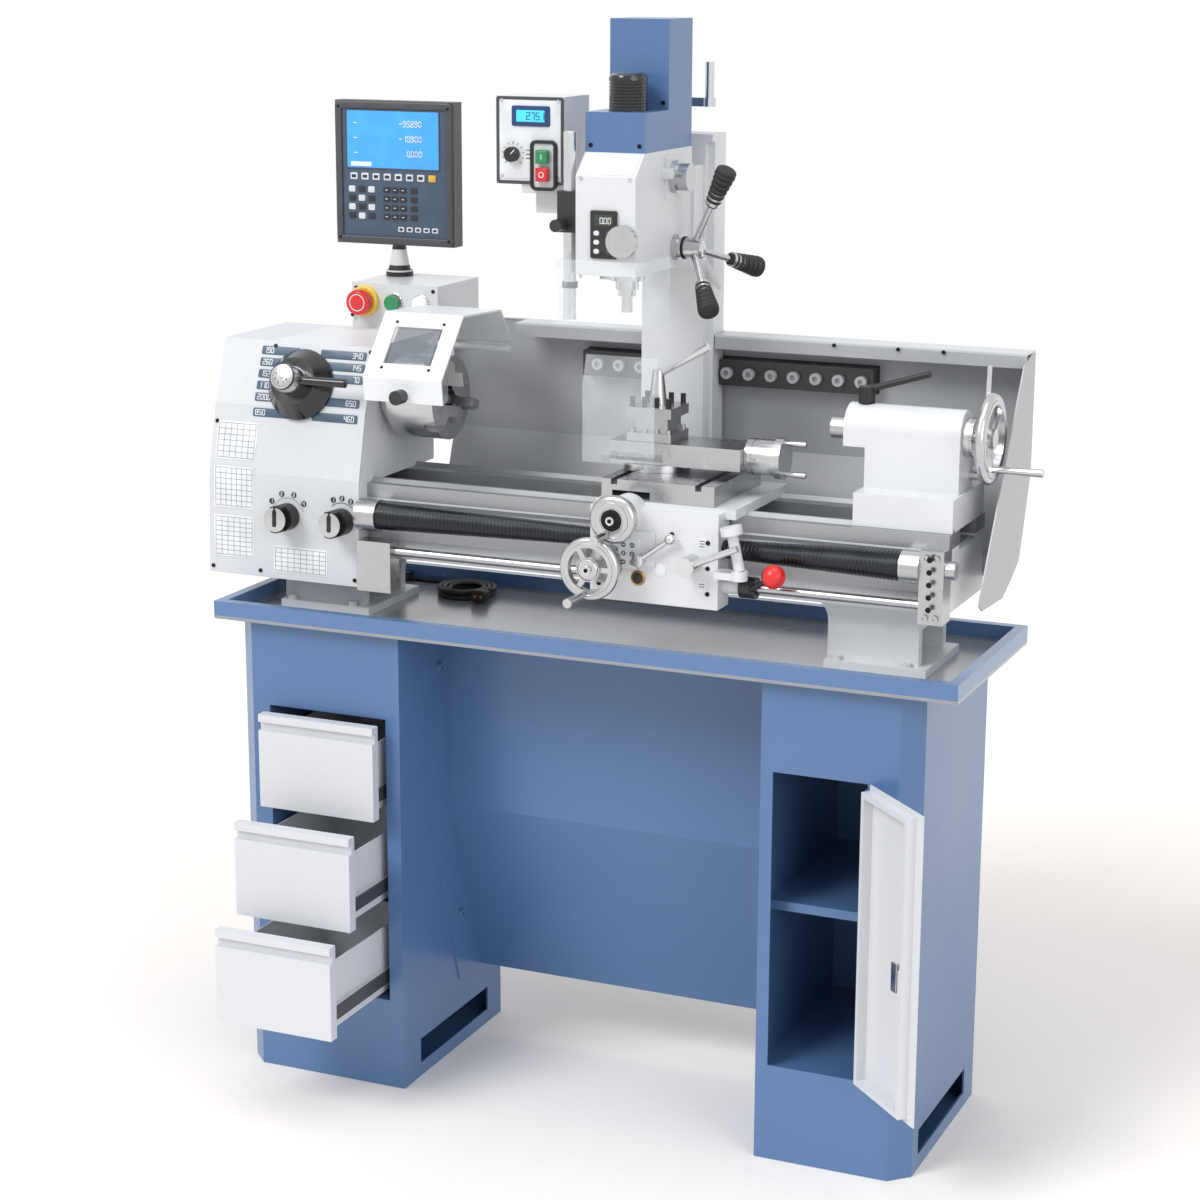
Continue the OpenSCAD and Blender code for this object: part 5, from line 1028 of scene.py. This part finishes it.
class LATHEMILL_OT_mill_box_face(PieceOperator, bpy.types.Operator):
    """Display, speed scale and switch plate of the mill's control box"""
    bl_idname = "lathe_mill.mill_box_face"
    bl_label = "Mill box face"

    def execute(self, context):
        face = on_front(*MILL_BOX_FACE)
        parts = [
            (moved(slab(100, 118, 0.8, 3, 0.3), 0, 3), face, "plate_pale"),
            (moved(slab(62, 30, 2.2, 3, 0.6), 2, 36, 0.6), face, "lcd_frame"),
            (moved(slab(46, 17, 0.6, 1, 0.2), 2, 36, 2.8), face, "screen_cyan"),
            (moved(digits("2751", 10, 1.1), 10, 36, 3.4), face, "black_mark")]
        for i in range(11):
            u, v = polar(17, 225 - i * 27)
            tick = strip(4.5 if i % 5 == 0 else 3, 0.9, 0.3)
            put(parts, face, "black_mark", tick, u - 27.5, v - 20.5, 0.8, 225 - i * 27)
        for i in range(3):
            put(parts, face, "black_mark", strip(8, 1.4, 0.3), -2, -26 + i * 6, 0.8)
        for u in (-46, 46):
            for v in (-52, 58):
                put(parts, face, "chrome", screw(2.6, 1.2), u, v, 0.6)
        put(parts, on_front(SWITCH_X, -33, SWITCH_Z), "black", frame_slab(43, 74, 5, 3.2, 9, 1.0, 3.2))
        piece("mill_box_face", parts, "machine")
        for body, height in (("mill_start_button", 1463), ("mill_stop_button", 1437)):
            cap = on_front(SWITCH_X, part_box(body)[0][1] * 1000, height)
            if "start" in body:
                look, mark, turn = "green", strip(7, 1.4, 0.25), 90
            else:
                look, mark, turn = "red", ring(3.2, ((0, 0), (1.2, 0), (1.2, 0.25), (0, 0.25)), 24), 0
            piece(body + "_cap", [
                (slab(19, 17, 1.2, 2, 0.6, 1.0), cap, look), (moved(mark, 0, 0, 1.2, turn), cap,
                    "white_mark")],
                body)
        knob = on_front(-155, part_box("mill_speed_knob")[0][1] * 1000, 1465)
        piece("speed_knob_mark", [
            (revolved(((0, -2), (10.5, -2), (10.5, 0.2), (9.5, 0.9), (0, 0.9)), 40), knob, "black_gloss"),
            (moved(strip(9, 1.3, 0.3), 4, 4, 0.9, 45), knob,
                "white_mark")], "mill_speed_knob")
        return {"FINISHED"}


class LATHEMILL_OT_mill_head_trim(PieceOperator, bpy.types.Operator):
    """Motor cap, depth display, sloping plate and screws of the milling head"""
    bl_idname = "lathe_mill.mill_head_trim"
    bl_label = "Milling head trim"

    def execute(self, context):
        face = on_front(40.5, -140, 1364.5)
        parts = [
            (slab(42, 69, 2.2, 3, 0.7), face, "black_gloss"),
            (moved(slab(30, 15, 0.5, 1.5, 0.2), 0, 20, 2.2), face, "screen_dim"),
            (moved(digits("0.00", 8, 1.1), 3, 20, 2.7), face, "white_mark")]
        for i in range(3):
            put(parts, face, "key_pale", slab(9, 7, 0.9, 3.5, 0.4), -11, 2 - i * 13, 2.2)
            put(parts, face, "bezel", slab(9, 7, 0.9, 3.5, 0.4), 8, 2 - i * 13, 2.2)
        for u in (-38, 38):
            for v in (-88, 86):
                face = on_front(HEAD_X, HEAD_FRONT, 1391.5 - 34 * (v > 0))
                put(parts, face, "chrome", screw(3.0, 1.6), u, v)
        slope = facing((HEAD_X, -121, 1462), (1, 0, 0), (0, 34, 32))
        put(parts, slope, "plate_pale", slab(84, 40, 0.9, 2, 0.3))
        cap = on_top(*MOTOR_CAP)
        rib_line = [(0, 0), (28.4, 0)]
        for i in range(9):
            rib_line += [(28.4, 2 + i * 4.6), (27.4, 2.6 + i * 4.6), (27.4, 5.6 + i * 4.6),
                (28.4, 6.2 + i * 4.6)]
        rib_line += [(28.4, 46), (26.4, 50.6), (20, 54.4), (0, 55.2)]
        put(parts, cap, "black_gloss", revolved(rib_line, 56))
        for u in (-38, 38):
            put(parts, on_front(HEAD_X + u, -104, 1488), "black_oxide", screw(3.2, 1.8))
            put(parts, on_front(HEAD_X + u, -16, 1545), "black_oxide", screw(3.2, 1.8))
        piece("mill_head_trim", parts, "mill_head")
        return {"FINISHED"}


class LATHEMILL_OT_capstan_grips(PieceOperator, bpy.types.Operator):
    """Flared bellows grips and the hub's rings on the capstan"""
    bl_idname = "lathe_mill.capstan_grips"
    bl_label = "Capstan grips"

    def execute(self, context):
        root = np.array((HUB_X + 28.0, 0.0, 0.0))
        tip = root + (62.0, 120.0, 0.0)
        way = (tip - root) / np.linalg.norm(tip - root)
        parts = []
        for angle in (102, 222, 342):
            c, s = math.cos(math.radians(angle)), math.sin(math.radians(angle))
            spin = np.array(((1, 0, 0), (0, c, -s), (0, s, c)))
            direction = spin @ way
            foot = spin @ (tip - way * 58.0) + (0, HUB_Y, HUB_Z)
            right = np.cross((1.0, 0.0, 0.0), direction)
            right /= np.linalg.norm(right)
            up = np.cross(direction, right)
            place = facing(foot, right, up)
            line = [(0, -4), (7, -4), (8.6, -3), (8.6, 2), (7.5, 3)]
            for i in range(6):
                wide = 11.4 + 0.85 * i
                start = 3 + i * 8.4
                line += [(wide - 1.8, start), (wide, start + 2.4), (wide + 0.3, start + 4.4),
                    (wide, start + 6.2), (wide - 1.9, start + 8.2)]
            line += [(15.6, 55), (14.8, 57.6), (12, 59.6), (6, 60.4), (0, 60.6)]
            put(parts, place, "rubber", revolved(line, 32))
        side = on_side(HUB_X, HUB_Y, HUB_Z)
        put(parts, side, "black_oxide", ring(15.2, ((0, 0), (1.6, 0), (1.6, 3.4), (0, 3.4))), 0, 0, 14)
        put(parts, side, "chrome", revolved(((0, 0), (12, 0), (12, 2.2), (9, 4.4), (0, 4.8)), 40), 0, 0, 41.4)
        piece("capstan_grips", parts, "capstan")
        return {"FINISHED"}


class LATHEMILL_OT_graduations(PieceOperator, bpy.types.Operator):
    """Engraved lines and numerals on the feed dials"""
    bl_idname = "lathe_mill.graduations"
    bl_label = "Graduations"

    def execute(self, context):
        for name, body, start, axis, radius, count in (
                ("top_dial_lines", "top_handwheel", (226, -5, 1034), (1, 0, 0), 27.1, 50),
                ("carriage_dial_lines", "carriage_handwheel", (43, -140.6, 886), (0, -1, 0), 30.1, 60),
                ("tail_dial_lines", "tail_handwheel", (554.5, 0, 1086), (1, 0, 0), 28.1, 40)):
            along = np.array(axis, float)
            across = np.cross(along, (0.0, 0.0, 1.0))
            parts = []
            for i in range(count):
                angle = 2 * math.pi * i / count
                out = across * math.cos(angle) + np.array((0.0, 0.0, math.sin(angle)))
                long = 5.5 if i % 5 == 0 else 3.4
                at = np.array(start, float) + out * radius + along * (long / 2 + 0.6)
                put(parts, facing(at, along, np.cross(out, along)), "black_mark", strip(long, 0.7, 0.12))
                if i % 10 == 0:
                    at = np.array(start, float) + out * radius + along * 8.6
                    put(parts, facing(at, np.cross(out, along), -along), "black_mark",
                        digits(str(i // 10), 3.2, 0.5, 0.12))
            piece(name, parts, body)
        return {"FINISHED"}


class LATHEMILL_OT_carriage_trim(PieceOperator, bpy.types.Operator):
    """Feed plate, oil sight, plugs and screws on the carriage, and the centres of its two wheels"""
    bl_idname = "lathe_mill.carriage_trim"
    bl_label = "Carriage trim"

    def execute(self, context):
        parts = [
            (slab(34, 44, 0.8, 2, 0.2), on_front(*FEED_PLATE), "plate_pale"),
            (ring(8.6, ((0, 0), (2.6, 0), (2.6, 1.4), (1.6, 2.4), (0, 2.4))), on_front(97, APRON_FRONT, 866),
                "brass"),
            (disc(8.8, 0.9), on_front(97, APRON_FRONT, 866), "key_dark"),
            (disc(9.5, 0.8), on_front(132, APRON_FRONT, 881), "plate_pale"),
            (disc(8.0, 0.8), on_front(66, APRON_FRONT, 868), "plate_pale")]
        for row in range(3):
            for column in range(2):
                put(parts, on_front(*FEED_PLATE), "plate_line", disc(4.0, 0.3), -9 + column * 14,
                    13 - row * 13, 0.8)
                put(parts, on_front(*FEED_PLATE), "white_mark", strip(4.5, 1.0, 0.2), -9 + column * 14,
                    13 - row * 13, 1.1, 90 * row)
        for x, z in ((206, 928), (206, 852), (34, 852), (150, 936), (206, 890)):
            put(parts, on_front(x, APRON_FRONT, z), "black_oxide", screw(3.4, 1.6))
        for u in (-15, 15):
            put(parts, on_front(*FEED_PLATE), "chrome", screw(1.6, 0.8), u, -20, 0.8)
        face = on_front(183, APRON_FRONT, 896)
        for v, count in ((30, 3), (-34, 2)):
            put(parts, face, "plate_pale", slab(15, 17, 0.5, 1, 0.1), 14, v)
            for i in range(count):
                put(parts, face, "black_mark", strip(9, 1.0, 0.2), 14, v + 4 - i * 4, 0.5)
        thread = on_top(247, -150, 947)
        put(parts, thread, "plate_pale", disc(13.5, 0.6), 0, 0, 0.2)
        for i in range(8):
            put(parts, thread, "black_mark", strip(4, 0.8, 0.2), *polar(10.5, i * 45), 0.8, i * 45)
        piece("carriage_trim", parts, "carriage")
        for name, body, place, look in (
                ("cross_wheel_centre", "cross_handwheel", on_front(74, -181, 959), "black_oxide"),
                ("carriage_wheel_centre", "carriage_handwheel", on_front(43, -195, 886), "turned")):
            piece(name, [
                (revolved(((0, 0), (15.6, 0), (15.6, 7.6), (14.4, 8.6), (0, 8.6)), 40), place, look),
                (moved(disc(6.5, 5.0), 0, 0, 8.4), place, "chrome"),
                (moved(screw(3.2, 2.0), 0, 0, 13.2), place, "black_oxide"),
                (ring(16.5, ((0, 0), (1.6, 0), (1.6, 7.0), (0, 7.0))), place, "turned")], body)
        return {"FINISHED"}


class LATHEMILL_OT_guard_panes(PieceOperator, bpy.types.Operator):
    """Tinted window of the chuck guard, and the steel post that carries the mill's clear guard"""
    bl_idname = "lathe_mill.guard_panes"
    bl_label = "Guard panes"

    def execute(self, context):
        window = facing((-296.5, -89.5, 1177), (1, 0, 0), (0, 77, 90))
        pane = moved(slab(73, 74, 1.6, 3, 0.4), 0, 0, -4.2)
        bolts = [(moved(screw(2.4, 1.2), u, v, 0.1), window, "black_oxide") for u in (-40, 40) for v in (-41,
            41)]
        piece("chuck_window", [(pane, window, "smoked")] + bolts, "chuck_guard")
        post = on_top(*GUARD_POST)
        piece("guard_post", [
            (revolved(((0, 0), (9.25, 0), (9.25, 269.4), (8.4, 270.2), (0, 270.2)), 40), post, "chrome"),
            (moved(revolved(((0, 0), (11.5, 0), (11.5, 9), (0, 9)), 32), 0, 0, 46), post, "black_oxide")],
            "mill_guard")
        return {"FINISHED"}


class LATHEMILL_OT_machine_trim(PieceOperator, bpy.types.Operator):
    """Screws on the bed, the end bracket and the splash guard's lip, and the rim of the mill box's face"""
    bl_idname = "lathe_mill.machine_trim"
    bl_label = "Machine trim"

    def execute(self, context):
        parts = [(frame_slab(110.4, 128.4, 5, 1.0, 4, 0.4), on_front(*MILL_BOX_FACE), "bezel")]
        for i in range(5):
            put(parts, on_front(538, -140.2, 0), "black_oxide", screw(4.2, 0.6), 0, 862 + i * 18)
        for x in (-330, -250, 330, 420):
            put(parts, on_front(x, -92, 905), "black_oxide", screw(3.2, 1.4))
        for x in (-520, -415, 300, 400, 470):
            put(parts, on_front(x, 128, 1186), "black_oxide", screw(3.0, 1.6))
        piece("machine_trim", parts, "machine")
        return {"FINISHED"}


CLASSES = (
    LatheMillColours, LatheMillSizes, LATHEMILL_OT_stage, LATHEMILL_OT_finishes, LATHEMILL_OT_lead,
    LATHEMILL_OT_screw_covers, LATHEMILL_OT_display, LATHEMILL_OT_headstock_plates, LATHEMILL_OT_dial_marks,
    LATHEMILL_OT_control_trim, LATHEMILL_OT_mill_box_face, LATHEMILL_OT_mill_head_trim,
    LATHEMILL_OT_capstan_grips,
    LATHEMILL_OT_graduations, LATHEMILL_OT_carriage_trim, LATHEMILL_OT_guard_panes, LATHEMILL_OT_machine_trim)


class LATHEMILL_PT_panel(bpy.types.Panel):
    """Lists the operators and the settings of the lathe mill."""
    bl_label = "Lathe mill"
    bl_idname = "LATHEMILL_PT_panel"
    bl_space_type = "VIEW_3D"
    bl_region_type = "UI"
    bl_category = "Lathe mill"

    def draw(self, context):
        layout = self.layout
        for group in (context.scene.lathe_mill_colours, context.scene.lathe_mill_sizes):
            for key in group.__annotations__:
                layout.prop(group, key)
        for cls in CLASSES[2:]:
            layout.operator(cls.bl_idname)


def register():
    """Registers the classes and the scene's settings."""
    for cls in CLASSES + (LATHEMILL_PT_panel,):
        bpy.utils.register_class(cls)
    bpy.types.Scene.lathe_mill_colours = bpy.props.PointerProperty(type=LatheMillColours)
    bpy.types.Scene.lathe_mill_sizes = bpy.props.PointerProperty(type=LatheMillSizes)


def unregister():
    """Removes the scene's settings and the classes."""
    del bpy.types.Scene.lathe_mill_sizes
    del bpy.types.Scene.lathe_mill_colours
    for cls in reversed(CLASSES + (LATHEMILL_PT_panel,)):
        bpy.utils.unregister_class(cls)


def main():
    """Builds the whole scene in order."""
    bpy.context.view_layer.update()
    register()
    for cls in CLASSES[2:]:
        group, name = cls.bl_idname.split(".")
        if getattr(getattr(bpy.ops, group), name)() != {"FINISHED"}:
            raise RuntimeError(cls.bl_idname + " did not finish")


if __name__ == "__main__":
    main()
